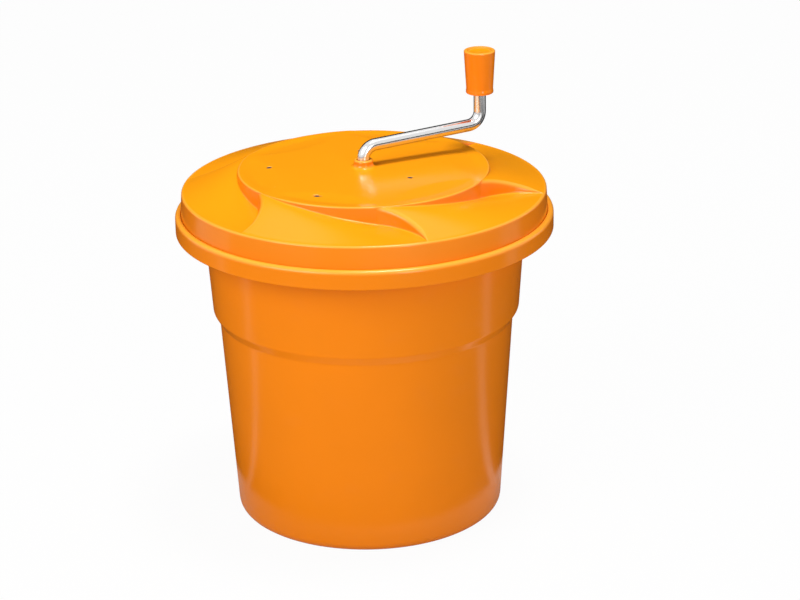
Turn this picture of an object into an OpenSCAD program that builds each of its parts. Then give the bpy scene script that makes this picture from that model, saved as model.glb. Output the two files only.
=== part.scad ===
// Hand-cranked salad spinner of about ten litres.
// A bucket carries a steel pivot pin, a perforated basket turns on it, and the lid holds
// a crank and a two-stage gear train that turns the basket faster than the hand.
// Millimetres, +Z up, origin in the middle of the bucket's underside.

/* [Bucket] */
// Height of the rim face that the lid rests on
bucket_h = 278; // [250:1:310]
// Outside radius that the lower wall would have at the ground
foot_r = 119.4; // [114:0.1:124]
// Outside radius of the lower wall just under the step
step_r = 131.4; // [126:0.1:134]
// Outside radius of the upper wall just over the step
upper_r = 136.9; // [134.5:0.1:140]
// Outside radius of the upper wall at the rim
mouth_r = 143.1; // [140:0.1:148]
// Height at which the wall starts to step out
step_z = 182; // [150:1:200]
// Height of the step
step_h = 9; // [5:0.5:14]
// Wall thickness of the bucket
bucket_wall = 3; // [2:0.1:4]
// Thickness of the bucket's floor
floor_t = 3; // [2:0.1:5]
// Height of the hollow under the floor
foot_h = 2; // [1:0.1:4]
// Width of the foot ring that the bucket stands on
foot_w = 22; // [12:1:40]
// Radius of the rounding between floor and wall
corner_r = 8; // [5:0.5:14]

/* [Bucket rim] */
// Outside radius of the rim band
rim_r = 167.5; // [164.5:0.1:176]
// Height of the rim band from its lower edge to the top of its bead
rim_band_h = 16.7; // [12:0.1:24]
// Height of the bead over the face that the lid rests on
bead_h = 2.8; // [1.5:0.1:5]
// Width of the bead
bead_w = 4.9; // [3:0.1:6]
// Rounding of the bead's outer edge
bead_round = 3.6; // [1:0.1:3.8]
// Thickness of the rim's flange and band
rim_t = 3; // [2:0.1:4]

/* [Pivot] */
// Radius of the steel pivot pin
pin_r = 5; // [4:0.1:7]
// Height of the tower that holds the pin, over the bucket's floor
tower_h = 29; // [22:0.5:36]
// Radius of the tower at its foot
tower_foot_r = 22; // [18:0.5:30]
// Length of the pin over the tower
pin_out = 36; // [28:0.5:50]
// Length of the pin inside the tower
pin_in = 20; // [14:0.5:22]
// Wall thickness of the pivot bush
bush_wall = 4; // [2.5:0.1:6]
// Thickness of the pivot bush's flange
bush_flange_t = 3; // [2:0.1:5]
// Radius of the pivot bush's flange
bush_flange_r = 14; // [13.5:0.1:18]
// Thickness of the pivot bush's closed end
bush_end_t = 4; // [2:0.1:7]

/* [Basket] */
// Gap between the basket's foot and the bucket's inner wall
basket_gap = 6.3; // [4:0.1:14]
// Gap between the basket's rim and the bucket's inner wall
basket_rim_gap = 11; // [8:0.5:16]
// Height of the basket's underside over the bucket's floor
sump_h = 23; // [16:0.5:27]
// Depth of the basket's rim under the bucket's rim
basket_drop = 16; // [12:0.5:30]
// Wall thickness of the basket
basket_wall = 2.5; // [1.8:0.1:4]
// Width of the basket's rim
basket_rim_w = 4; // [2:0.1:6]
// Height of the basket's rim
basket_rim_h = 4; // [2:0.1:8]
// Wall thickness of the basket's hub
hub_wall = 4.5; // [3:0.1:7]
// Radius at which the basket's floor starts to rise to the hub
dome_r = 32; // [28:0.5:44]
// Number of slots round the basket's wall
slot_columns = 32; // [16:4:40]
// Number of rows of slots up the basket's wall
slot_rows = 3; // [2:1:5]
// Width of a slot
slot_w = 5; // [3:0.1:8]
// Height of wall left between two rows of slots
slot_bridge = 11; // [8:0.5:20]
// Height of wall left under the rim
slot_top_band = 22; // [16:1:40]

/* [Drive bar] */
// Width of the bar across the basket
bar_w = 24; // [18:0.5:32]
// Thickness of the bar
bar_t = 7; // [5:0.5:10]
// Height of the socket boss over the bar
socket_h = 7; // [4:0.5:10]
// Wall thickness of the socket
socket_wall = 5; // [3:0.1:9]
// Length of the lugs that carry the bar
lug_l = 15; // [12:0.5:20]
// Height of the lugs
lug_h = 10; // [6:0.5:16]

/* [Lid] */
// How far the lid's band draws in towards the top
lid_draft = 1; // [0.2:0.1:3]
// Height of the lid's band
lid_band_h = 22.3; // [18:0.1:30]
// Rounding of the lid's upper edge
lid_edge_r = 2; // [1.5:0.1:4]
// Thickness of the lid
lid_t = 3; // [2:0.1:4]
// Radius of the raised middle of the lid
plateau_r = 111; // [106.5:0.5:114]
// Height of the raised middle over the lid's edge
plateau_rise = 18.2; // [14:0.1:26]
// Outside radius of the locating ring that goes into the bucket
ring_r = 137; // [133.5:0.1:139]
// Thickness of the locating ring
ring_t = 2.5; // [1.8:0.1:4]
// How deep the locating ring goes into the bucket
ring_deep = 10; // [5:0.5:14]

/* [Lid ramps] */
// Number of ramps round the raised middle
ramps = 6; // [4:1:8]
// Depth of a ramp at its low end
ramp_drop = 16.5; // [10:0.1:17]
// How late a ramp sinks, where 1 is a steady slope
ramp_bend = 1.5; // [1:0.05:1.6]
// Radius of the curved step between two ramps
ridge_r = 61; // [50:0.5:80]
// How far that curve would reach into the raised middle
ridge_bite = 2.4; // [1:0.1:6]
// Direction of the first curve's centre, in degrees
ridge_turn = -32; // [-60:0.5:0]

/* [Collar and pad] */
// Radius of the collar round the crank
collar_r = 8.5; // [8.2:0.1:12]
// Height of the collar
collar_h = 6.8; // [5.8:0.1:11]
// Radius of the fillet at the collar's foot
collar_fillet = 3.8; // [1.5:0.1:4]
// Rounding of the collar's upper edge
collar_round = 1.6; // [0.6:0.1:1.8]
// Thickness of the collar's lip over the crank bush
collar_lip = 1.5; // [1:0.1:2.5]
// Radius of the raised pad over the gear case
pad_r = 84; // [82:0.5:84.5]
// Height of the pad over the rest of the raised middle
pad_h = 0.6; // [0.3:0.1:1.2]

/* [Gears] */
// Gear module
gear_m = 2; // [1.9:0.05:2.1]
// Teeth of the crank gear and of the idler's wheel
wheel_teeth = 35; // [33:1:36]
// Teeth of the two pinions
pinion_teeth = 17; // [17:1:18]
// Face width of the gears
gear_w = 7; // [5:0.5:7.5]
// Backlash at the pitch circle
backlash = 0.25; // [0.15:0.05:0.4]
// Direction from the crank to the idler, in degrees
idler_turn = 214.4; // [180:0.1:240]
// Radius of the idler's pin
idler_pin_r = 4; // [3:0.1:5]
// Radius of the idler's neck between wheel and pinion
idler_neck_r = 12; // [9:0.5:13]
// Distance between the two stages of gears
stage_gap = 2.9; // [2:0.1:4]

/* [Gear case] */
// Outside radius of the gear case
case_r = 80.5; // [79.5:0.1:81.5]
// Wall thickness of the gear case
case_wall = 2.5; // [2:0.1:3]
// Thickness of the gear case's seal
seal_t = 1.5; // [1:0.1:3]
// Radius of the circle of case screws
screw_circle_r = 64.5; // [63:0.5:67]
// Direction of the first case screw, in degrees
screw_turn = 73; // [60:1:80]
// Radius of the bosses that take the case screws
boss_r = 5.5; // [4.5:0.1:6.5]
// Radius of the holes in the lid over the case screws
vent_r = 2.5; // [2.2:0.1:3.2]
// Radius of the case screws
case_screw_r = 2; // [1.5:0.1:2]
// How deep the plugs sit in those holes
plug_deep = 0.4; // [0.1:0.1:2]

/* [Driver] */
// Radius of the driver shaft
driver_r = 6; // [5:0.1:7]
// Wall thickness of the driver bush
driver_bush_wall = 3; // [2:0.1:4]
// Length of the driver bush under the case floor
driver_bush_out = 5; // [3:0.5:8]
// Width across flats of the hexagonal dog and its socket
dog_flats = 14; // [13:0.5:17]
// Depth of the dog in its socket
dog_deep = 9; // [6:0.5:11]

/* [Crank] */
// Radius of the crank's round bar
rod_r = 5.5; // [5:0.1:6]
// Distance from the crank's axis to the knob's axis
crank_l = 115.7; // [90:0.1:135]
// Direction of the crank's arm, in degrees
crank_turn = 25; // [0:1:359]
// Radius of the bar's bends
bend_r = 12; // [10:0.5:20]
// How far under the collar's top the bar starts to bend
bend_deep = 0.2; // [0:0.1:1.5]
// Upward slope of the crank's arm, in degrees
arm_slope = 2.35; // [0:0.05:8]
// Wall thickness of the crank bush
crank_bush_wall = 1.4; // [1.2:0.1:2]
// Width of the square on the bar's lower end
square_w = 7.4; // [6.6:0.1:7.6]
// Radius of the screw in each end of the bar
end_screw_r = 2; // [1.5:0.1:2.2]
// Thickness of the washers
washer_t = 1; // [0.8:0.1:1.5]
// Height of the screw heads
head_h = 2.8; // [2:0.1:3.2]

/* [Knob] */
// Height of the knob
knob_h = 39.2; // [32:0.1:60]
// Radius of the knob at its lower end
knob_low_r = 12.3; // [11:0.1:15]
// Radius of the knob at its upper end
knob_top_r = 14; // [12:0.1:18]
// Height of the bar's shoulder over the knob's lower end
knob_socket = 5; // [3:0.5:10]
// Height of straight bar between the upper bend and the knob
knob_stand = 16.9; // [2:0.1:30]
// Radius of the knob's cap
cap_r = 10.5; // [9:0.1:11]
// Thickness of the knob's cap
cap_t = 3; // [2:0.1:5]

/* [Fits] */
// Radial clearance of a shaft that turns in its bush
running = 0.06; // [0.02:0.01:0.1]
// Radial clearance of a piece that is fixed in its hole
snug = 0.02; // [0.01:0.01:0.05]
// Axial play of a turning piece
play = 0.3; // [0.2:0.05:0.5]
// Clearance round a loose flat-sided fit
loose = 0.25; // [0.2:0.05:0.5]
// Gap between the lid's lower edge and the bucket's rim
seat_gap = 0.2; // [0.1:0.05:0.5]
// Gap between the lid and the bead round it
lid_gap = 0.3; // [0.2:0.05:1]
// Gap between the bar and the collar's lip
lip_gap = 0.6; // [0.4:0.05:1.2]

/* [Hidden] */

$fn = 72;
orange = [0.94, 0.50, 0.05];
light_orange = [0.98, 0.65, 0.15];
white_plastic = [0.93, 0.93, 0.90];
acetal = [0.88, 0.87, 0.82];
steel = [0.72, 0.73, 0.75];
rubber = [0.15, 0.15, 0.16];
eps = 0.01;

// Heights of the bucket, its pivot and the basket
floor_z = foot_h + floor_t;
tower_z = floor_z + tower_h;
pin_z = tower_z + pin_out;
bush_r = pin_r + bush_wall;
hub_r = bush_r + hub_wall;
hub_z = tower_z + bush_flange_t + play;
bush_end_z = pin_z + play + bush_end_t;
clip_t = 1.5;
clip_z = bush_end_z - clip_t - 1;
hub_top_z = clip_z - play;
basket_z = floor_z + sump_h;
basket_top_z = bucket_h - basket_drop;
basket_foot_r = low_r(basket_z) - bucket_wall - basket_gap;
basket_top_r = up_r(basket_top_z) - bucket_wall - basket_rim_gap - basket_rim_w;
bar_z = basket_top_z - bar_t;
socket_z = basket_top_z + socket_h;
socket_r = (dog_flats / 2 + loose) / cos(30) + socket_wall;

// Heights and radii of the lid
lid_r = rim_r - bead_w - lid_gap;
lid_z = bucket_h + seat_gap;
edge_z = lid_z + lid_band_h;
plateau_z = edge_z + plateau_rise - 0.2;
under_z = plateau_z - pad_h - lid_t;
cone_r = lid_r - lid_draft - lid_edge_r + 0.2;
ring_z = bucket_h - ring_deep;

// The gear train hangs under the raised middle
idler_l = gear_m * (wheel_teeth + pinion_teeth) / 2;
idler_pos = [idler_l * cos(idler_turn), idler_l * sin(idler_turn)];
case_pos = idler_pos / 2;
flange_t = 2;
wheel_top = under_z - flange_t - play - washer_t;
wheel_low = wheel_top - gear_w;
head_low = wheel_low - washer_t - head_h;
driver_top = head_low - stage_gap;
driver_low = driver_top - gear_w;
case_floor_z = driver_low - play - flange_t;
case_low_z = case_floor_z - case_wall;
driver_bush_r = driver_r + driver_bush_wall;
driver_bush_z = case_low_z - driver_bush_out;
post_z = case_floor_z + 8;
dog_z = socket_z - dog_deep;
wheel_tip = gear_m * (wheel_teeth / 2 + 0.95);

// The crank: the bar leaves the collar, bends, runs out and bends up to the knob
collar_z = plateau_z + collar_h;
lip_z = collar_z - collar_lip;
bend_z = collar_z - bend_deep;
arm_dx = crank_l - 2 * bend_r + 2 * bend_r * sin(arm_slope);
arm_dz = arm_dx * tan(arm_slope);
bend2_z = bend_z + 2 * bend_r * cos(arm_slope) + arm_dz;
knob_z = bend2_z + knob_stand;
shoulder_z = knob_z + knob_socket;
knob_pos = [crank_l * cos(crank_turn), crank_l * sin(crank_turn)];
spindle_r = rod_r - 1.5;
cap_z = knob_z + knob_h - cap_t - 1;
spindle_z = cap_z - head_h - washer_t - 1;

// Outside radius of the bucket's lower and upper wall at a height
function low_r(z) = foot_r + (step_r - foot_r) * z / step_z;
function up_r(z) = upper_r + (mouth_r - upper_r) * (z - step_z - step_h)
    / (bucket_h - step_z - step_h);
// Outside radius of the basket's wall at a height
function basket_r(z) = basket_foot_r + (basket_top_r - basket_foot_r) * (z - basket_z)
    / (basket_top_z - basket_z);
// Points of a round corner, from one direction to another
function arc(x, z, r, from, to, n = 6) =
    [for (i = [0:n]) let (a = from + (to - from) * i / n) [x + r * cos(a), z + r * sin(a)]];
// Points of the wall's step, drawn in by an offset
function step_points(inset, n = 6) =
    [for (i = [0:n]) let (t = i / n)
        [step_r + (upper_r - step_r) * (1 - cos(180 * t)) / 2 - inset, step_z + step_h * t]];
function reverse(list) = [for (i = [len(list) - 1:-1:0]) list[i]];

// ---- bucket and pivot ----

module bucket() {
    band_z = bucket_h + bead_h - rim_band_h;
    bead_z = bucket_h + bead_h;
    inner_round = 1.2;
    outer_round = min(bead_round, bead_w - inner_round - 0.1);
    outline = concat(
        [[0, foot_h], [foot_r - corner_r - foot_w, foot_h], [foot_r - corner_r - foot_w + foot_h, 0]],
        arc(low_r(corner_r) - corner_r, corner_r, corner_r, -90, -4),
        step_points(0),
        [[up_r(bucket_h - rim_t - 2), bucket_h - rim_t - 2]],
        [[up_r(bucket_h) + 2, bucket_h - rim_t]],
        [[rim_r - rim_t - 2, bucket_h - rim_t], [rim_r - rim_t, bucket_h - rim_t - 2]],
        [[rim_r - rim_t, band_z + 0.6], [rim_r - rim_t + 0.6, band_z], [rim_r - 0.8, band_z]],
        [[rim_r, band_z + 0.8]],
        arc(rim_r - outer_round, bead_z - outer_round, outer_round, 0, 90),
        arc(rim_r - bead_w + inner_round, bead_z - inner_round, inner_round, 90, 180, 4),
        [[rim_r - bead_w, bucket_h]],
        [[up_r(bucket_h) - bucket_wall + 1.5, bucket_h]],
        [[up_r(bucket_h) - bucket_wall, bucket_h - 1.5]],
        reverse(step_points(bucket_wall)),
        arc(low_r(corner_r) - corner_r, floor_z + corner_r - bucket_wall, corner_r - bucket_wall, -4, -90),
        [[tower_foot_r, floor_z], [bush_flange_r, floor_z + tower_h / 2], [hub_r - 1, tower_z]],
        [[0, tower_z]]
    );
    color(orange)
    difference() {
        rotate_extrude() polygon(outline);
        translate([0, 0, tower_z - pin_in]) cylinder(r = pin_r + snug, h = pin_in + 1);
    }
}

module pivot_pin() {
    color(steel)
    rotate_extrude() polygon(concat(
        [[0, tower_z - pin_in], [pin_r - 1, tower_z - pin_in], [pin_r, tower_z - pin_in + 1]],
        arc(pin_r - 2, pin_z - 2, 2, 0, 90, 4),
        [[0, pin_z]]
    ));
}

module pivot_bush() {
    groove_d = 1;
    color(acetal)
    difference() {
        union() {
            translate([0, 0, tower_z]) cylinder(r = bush_flange_r, h = bush_flange_t);
            translate([0, 0, tower_z]) cylinder(r = bush_r, h = bush_end_z - tower_z);
        }
        translate([0, 0, tower_z - 1]) cylinder(r = pin_r + running, h = pin_out + play + 1);
        translate([0, 0, clip_z]) difference() {
            cylinder(r = bush_r + 1, h = clip_t);
            translate([0, 0, -1]) cylinder(r = bush_r - groove_d, h = clip_t + 2);
        }
    }
}

module bush_clip() {
    groove_d = 1;
    color(steel)
    translate([0, 0, clip_z])
    difference() {
        cylinder(r = hub_r - 1.5, h = clip_t - 0.1);
        translate([0, 0, -1]) cylinder(r = bush_r - groove_d + snug, h = clip_t + 2);
        translate([0, -2, -1]) cube([hub_r, 4, clip_t + 2]);
    }
}

// ---- basket ----

module basket_wall_slots() {
    first_z = basket_z + 14;
    row_h = (basket_top_z - slot_top_band - first_z + slot_bridge) / slot_rows;
    for (row = [0:slot_rows - 1]) {
        for (i = [0:slot_columns - 1]) {
            slot_z = first_z + row * row_h;
            rotate([0, 0, (i + 0.5) * 360 / slot_columns])
            translate([basket_foot_r - 12, -slot_w / 2, slot_z])
            cube([basket_top_r - basket_foot_r + 24, slot_w, row_h - slot_bridge]);
        }
    }
}

module basket_floor_slots() {
    inner_r = dome_r + 8;
    outer_r = basket_foot_r - 14;
    middle_r = (inner_r + outer_r) / 2;
    for (i = [0:slot_columns / 2 - 1]) {
        rotate([0, 0, i * 720 / slot_columns])
        translate([inner_r, -slot_w / 2, basket_z - 1])
        cube([middle_r - inner_r - 3, slot_w, basket_wall + 2]);
    }
    for (i = [0:slot_columns - 1]) {
        rotate([0, 0, (i + 0.5) * 360 / slot_columns])
        translate([middle_r + 3, -slot_w / 2, basket_z - 1])
        cube([outer_r - middle_r - 3, slot_w, basket_wall + 2]);
    }
}

module basket() {
    corner = 8;
    inner_top = basket_top_r - basket_wall;
    outline = concat(
        [[bush_r + running, hub_z], [bush_flange_r + 3, hub_z], [dome_r, basket_z]],
        arc(basket_foot_r - corner, basket_z + corner, corner, -90, -4),
        [[basket_r(basket_top_z - basket_rim_h), basket_top_z - basket_rim_h]],
        [[basket_top_r + basket_rim_w, basket_top_z - basket_rim_h]],
        [[basket_top_r + basket_rim_w, basket_top_z - 1], [basket_top_r + basket_rim_w - 1, basket_top_z]],
        [[inner_top, basket_top_z]],
        arc(basket_foot_r - corner, basket_z + corner, corner - basket_wall, -4, -90),
        [[dome_r + 1, basket_z + basket_wall], [hub_r + 4, hub_z + 2], [hub_r, hub_z + 6]],
        [[hub_r, hub_top_z], [bush_r + running, hub_top_z]]
    );
    color(white_plastic)
    difference() {
        union() {
            rotate_extrude() polygon(outline);
            for (side = [0, 180]) {
                rotate([0, 0, side]) bar_lug();
            }
        }
        basket_wall_slots();
        basket_floor_slots();
        for (side = [-1, 1]) {
            translate([side * lug_x(), 0, bar_z - lug_h - 1])
            cylinder(r = case_screw_r + snug, h = lug_h + 2);
        }
    }
}

// Distance of a bar screw from the middle of the basket
function lug_x() = basket_r(bar_z) - basket_wall - lug_l / 2;

// Lug inside the basket's wall that one end of the bar is screwed to
module bar_lug() {
    wall_x = basket_r(bar_z - lug_h) - basket_wall / 2;
    translate([wall_x - lug_l, -bar_w / 2, bar_z - lug_h])
    cube([lug_l, bar_w, lug_h]);
}

module hub_cap() {
    cap_wall = 1.5;
    inside_z = bush_end_z + 1;
    color(white_plastic)
    difference() {
        translate([0, 0, hub_top_z - 8])
        cylinder(r = hub_r + cap_wall + snug, h = inside_z + cap_wall - hub_top_z + 8);
        translate([0, 0, hub_top_z - 9]) cylinder(r = hub_r + snug, h = 9);
        translate([0, 0, hub_top_z - 1]) cylinder(r = hub_r - 1, h = inside_z - hub_top_z + 1);
    }
}

module drive_bar() {
    inner_r = basket_r(bar_z) - basket_wall;
    bar_l = 2 * (sqrt(inner_r * inner_r - bar_w * bar_w / 4) - 0.5);
    color(orange)
    difference() {
        union() {
            translate([-bar_l / 2, -bar_w / 2, bar_z]) cube([bar_l, bar_w, bar_t]);
            translate([0, 0, bar_z]) cylinder(r = socket_r, h = socket_z - bar_z);
        }
        translate([0, 0, dog_z - 0.5])
        cylinder(r = (dog_flats / 2 + loose) / cos(30), h = dog_deep + 2, $fn = 6);
        for (side = [-1, 1]) {
            translate([side * lug_x(), 0, bar_z - 1])
            cylinder(r = case_screw_r + loose, h = bar_t + 2);
        }
    }
}

module bar_screws() {
    color(steel)
    for (side = [-1, 1]) {
        translate([side * lug_x(), 0, basket_top_z]) screw(case_screw_r, bar_t + lug_h - 1);
    }
}

// Pan-head screw with its head's seat at height 0 and its shank downwards
module screw(r, length) {
    head_r = 2 * r;
    cross_w = r / 2;
    difference() {
        union() {
            cylinder(r = head_r, h = head_h);
            translate([0, 0, -length]) cylinder(r = r, h = length + eps);
        }
        for (a = [0, 90]) {
            rotate([0, 0, a]) translate([-r, -cross_w / 2, head_h / 2]) cube([2 * r, cross_w, head_h]);
        }
    }
}

// ---- lid ----

// Height of the lid's upper face on a ramp: u runs from 0 at its start to 1 at its end
function ramp_z(r, u) = edge_z - 0.2
    + (plateau_z - pad_h - edge_z + 0.2 - ramp_drop * pow(u, ramp_bend))
    * min(1, max(0, (cone_r - r) / (cone_r - plateau_r)));
// Direction of the curved step at a radius
function ridge_angle(r) = let (far = plateau_r + ridge_r - ridge_bite)
    ridge_turn + acos((r * r + far * far - ridge_r * ridge_r) / (2 * r * far));
// A point of the lid on ramp number s
function ramp_point(r, s, u, turn, z) = let (a = ridge_angle(r) + (s + u) * 360 / ramps + turn)
    [r * cos(a), r * sin(a), z];

// A closed ring under the ramps, from one radius to another: its top lies below the
// lid's upper face by over, and its underside follows the ramps at a thickness
module ramp_ring(from_r, to_r, steps, over, thick) {
    per_ramp = 8;
    wall_turn = 2.5;
    radii = [for (i = [0:steps]) from_r + (to_r - from_r) * i / steps];
    sections = [for (s = [0:ramps - 1]) for (i = [0:per_ramp]) let (u = i / per_ramp) concat(
        [for (r = radii) ramp_point(r, s, u, 0, ramp_z(r, u) - over)],
        [for (r = reverse(radii)) ramp_point(r, s, u, wall_turn, ramp_z(r, u) - over - thick)]
    )];
    count = len(sections);
    m = 2 * len(radii);
    faces = [for (k = [0:count - 1]) for (j = [0:m - 1]) for (half = [0, 1]) let (
        a = k * m + j,
        b = k * m + (j + 1) % m,
        c = ((k + 1) % count) * m + (j + 1) % m,
        d = ((k + 1) % count) * m + j
    ) half == 0 ? [a, c, b] : [a, d, c]];
    polyhedron(points = [for (section = sections) for (p = section) p], faces = faces);
}

// Ring under the lid that goes into the bucket's mouth and ends inside the ramps' wall
module locating_ring() {
    high_z = plateau_z;
    intersection() {
        translate([0, 0, ring_z]) difference() {
            cylinder(r = ring_r, h = high_z - ring_z);
            translate([0, 0, -1]) cylinder(r = ring_r - ring_t, h = high_z - ring_z + 2);
        }
        ramp_ring(ring_r - ring_t - 2, ring_r + 2, 1, lid_t / 2, high_z - ring_z);
    }
}

module case_screw_places() {
    for (i = [0:3]) {
        a = screw_turn + 90 * i;
        translate([case_pos[0] + screw_circle_r * cos(a), case_pos[1] + screw_circle_r * sin(a), 0])
        children();
    }
}

module lid() {
    band_in = lid_r - lid_t;
    wall_low = plateau_z - ramp_drop - lid_t;
    outer_r = cone_r - 0.8;
    band = concat(
        [[lid_r, lid_z + 0.5]],
        arc(lid_r - lid_draft - lid_edge_r, edge_z - lid_edge_r, lid_edge_r, 0, 90),
        [[cone_r - 2.6, edge_z - 0.5], [cone_r - 2.6, edge_z - lid_t + 0.5]],
        [[band_in - lid_draft - 1, edge_z - lid_t], [band_in - lid_draft, edge_z - lid_t - 1]],
        [[band_in, lid_z], [lid_r - 0.5, lid_z]]
    );
    collar = concat(
        [[0, plateau_z - 1], [collar_r + collar_fillet, plateau_z - 1]],
        arc(collar_r + collar_fillet, plateau_z + collar_fillet, collar_fillet, -90, -180, 5),
        arc(collar_r - collar_round, collar_z - collar_round, collar_round, 0, 90, 4),
        [[0, collar_z]]
    );
    color(light_orange)
    difference() {
        union() {
            translate([0, 0, under_z]) cylinder(r = plateau_r, h = lid_t);
            translate([case_pos[0], case_pos[1], under_z]) cylinder(r = pad_r, h = lid_t + pad_h);
            rotate_extrude() polygon(band);
            rotate_extrude() polygon(collar);
            difference() {
                translate([0, 0, wall_low]) cylinder(r = plateau_r, h = under_z - wall_low + 1);
                translate([0, 0, wall_low - 1])
                cylinder(r = plateau_r - lid_t + 0.4, h = under_z - wall_low + 1);
            }
            ramp_ring(plateau_r - 1, outer_r, 6, 0, lid_t - 0.2);
            locating_ring();
            case_screw_places() translate([0, 0, post_z]) cylinder(r = boss_r, h = under_z + 1 - post_z);
            translate([idler_pos[0], idler_pos[1], wheel_top + play + 0.1])
            cylinder(r = 2 * idler_pin_r, h = under_z + 1 - wheel_top - play);
        }
        translate([0, 0, under_z - 1])
        cylinder(r = rod_r + running + crank_bush_wall + snug, h = lip_z - under_z + 1);
        translate([0, 0, under_z]) cylinder(r = rod_r + lip_gap, h = collar_z - under_z + 1);
        case_screw_places() {
            translate([0, 0, post_z - 1]) cylinder(r = case_screw_r + snug, h = plateau_z - post_z + 2);
            translate([0, 0, plateau_z - lid_t - 1]) cylinder(r = vent_r, h = lid_t + 2);
        }
        translate([idler_pos[0], idler_pos[1], wheel_top])
        cylinder(r = idler_pin_r + snug, h = plateau_z - 1.5 - wheel_top);
    }
}

module crank_bush() {
    outer = rod_r + running + crank_bush_wall;
    color(acetal)
    difference() {
        union() {
            translate([0, 0, under_z - flange_t]) cylinder(r = outer + 4, h = flange_t);
            translate([0, 0, under_z - flange_t]) cylinder(r = outer, h = lip_z - play - under_z + flange_t);
        }
        translate([0, 0, under_z - flange_t - 1])
        cylinder(r = rod_r + running, h = collar_z - under_z + flange_t + 2);
    }
}

// ---- gear case ----

module case_seal() {
    color(rubber)
    translate([case_pos[0], case_pos[1], under_z - seal_t])
    difference() {
        cylinder(r = case_r, h = seal_t);
        translate([0, 0, -1]) cylinder(r = case_r - case_wall, h = seal_t + 2);
    }
}

module gear_case() {
    color(white_plastic)
    difference() {
        union() {
            translate([case_pos[0], case_pos[1], case_low_z])
            difference() {
                cylinder(r = case_r, h = under_z - seal_t - case_low_z);
                translate([0, 0, case_wall])
                cylinder(r = case_r - case_wall, h = under_z - case_low_z);
            }
            case_screw_places() translate([0, 0, case_low_z]) cylinder(r = boss_r, h = post_z - case_low_z);
            translate([0, 0, driver_bush_z]) cylinder(r = driver_bush_r + 3, h = case_floor_z - driver_bush_z);
            translate([idler_pos[0], idler_pos[1], case_low_z - 4])
            cylinder(r = 2 * idler_pin_r, h = driver_low - play - case_low_z + 4);
        }
        case_screw_places() translate([0, 0, case_low_z - 1])
        cylinder(r = case_screw_r + loose, h = post_z - case_low_z + 2);
        translate([0, 0, driver_bush_z - 1])
        cylinder(r = driver_bush_r + snug, h = case_floor_z - driver_bush_z + 2);
        translate([idler_pos[0], idler_pos[1], case_low_z - 2])
        cylinder(r = idler_pin_r + snug, h = driver_low - case_low_z + 3);
    }
}

module case_screws() {
    color(steel)
    case_screw_places() translate([0, 0, case_low_z]) mirror([0, 0, 1]) screw(case_screw_r, post_z + 12 - case_low_z);
}

// Rubber plugs in the lid's upper face that keep water off the case screws
module hole_plugs() {
    color(rubber)
    case_screw_places() translate([0, 0, plateau_z - lid_t - 1])
    cylinder(r = vent_r - snug, h = lid_t + 1 - plug_deep);
}

// ---- gear train ----

// Half of a tooth's angle at a radius, on an involute flank
function flank(r, base, half) = let (a = acos(min(1, base / r))) half - (tan(a) * 180 / PI - a);

// Outline of a spur gear with a tooth centred on direction 0
function gear_points(teeth) = let (
    pitch = gear_m * teeth / 2,
    base = pitch * cos(20),
    tip = pitch + 0.95 * gear_m,
    root = pitch - 1.25 * gear_m,
    start = max(base, root),
    half = 90 / teeth - backlash / (4 * pitch) * 180 / PI + tan(20) * 180 / PI - 20,
    radii = [for (i = [0:3]) start + (tip - start) * i / 3]
) [for (t = [0:teeth - 1]) let (mid = t * 360 / teeth) each concat(
    [[root, mid - flank(start, base, half) - 0.3]],
    [for (r = radii) [r, mid - flank(r, base, half)]],
    [for (r = reverse(radii)) [r, mid + flank(r, base, half)]],
    [[root, mid + flank(start, base, half) + 0.3]]
)];

module spur_gear(teeth, width) {
    linear_extrude(height = width)
    polygon([for (p = gear_points(teeth)) [p[0] * cos(p[1]), p[0] * sin(p[1])]]);
}

module idler_pin() {
    color(steel)
    translate([idler_pos[0], idler_pos[1], case_low_z - 2])
    cylinder(r = idler_pin_r, h = plateau_z - 2 - case_low_z + 2);
}

// The idler's wheel meshes with the driver pinion, and its pinion with the crank gear
module idler_gear() {
    color(acetal)
    translate([idler_pos[0], idler_pos[1], 0])
    difference() {
        union() {
            translate([0, 0, driver_low]) rotate([0, 0, idler_turn + 180]) spur_gear(wheel_teeth, gear_w);
            translate([0, 0, driver_low]) cylinder(r = idler_neck_r, h = wheel_low - driver_low + 1);
            translate([0, 0, wheel_low - 0.5])
            rotate([0, 0, idler_turn + 180 + 180 / pinion_teeth])
            spur_gear(pinion_teeth, gear_w + 0.5);
        }
        translate([0, 0, driver_low - 1])
        cylinder(r = idler_pin_r + running, h = wheel_top - driver_low + 2);
    }
}

module driver_bush() {
    color(acetal)
    difference() {
        union() {
            translate([0, 0, case_floor_z]) cylinder(r = driver_bush_r + 3, h = flange_t);
            translate([0, 0, driver_bush_z]) cylinder(r = driver_bush_r, h = case_floor_z - driver_bush_z + eps);
        }
        translate([0, 0, driver_bush_z - 1])
        cylinder(r = driver_r + running, h = case_floor_z - driver_bush_z + flange_t + 2);
    }
}

// Steel shaft: hexagonal dog below, round in the bush, square in the pinion
module driver_shaft() {
    color(steel)
    union() {
        translate([0, 0, dog_z])
        cylinder(r = dog_flats / 2 / cos(30), h = driver_bush_z - play - dog_z, $fn = 6);
        translate([0, 0, driver_bush_z - play - eps])
        cylinder(r = driver_r, h = driver_low - driver_bush_z + play + eps);
        translate([0, 0, driver_low - eps]) square_end(gear_w + eps);
        translate([0, 0, driver_top - eps]) cylinder(r = square_w / 2 - 0.4, h = clip_t + 0.5);
    }
}

// Square end with the width that the gears' square holes take
module square_end(height) {
    translate([-square_w / 2, -square_w / 2, 0]) cube([square_w, square_w, height]);
}

module square_hole(z, height) {
    w = square_w + 2 * snug;
    translate([-w / 2, -w / 2, z]) cube([w, w, height]);
}

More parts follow.
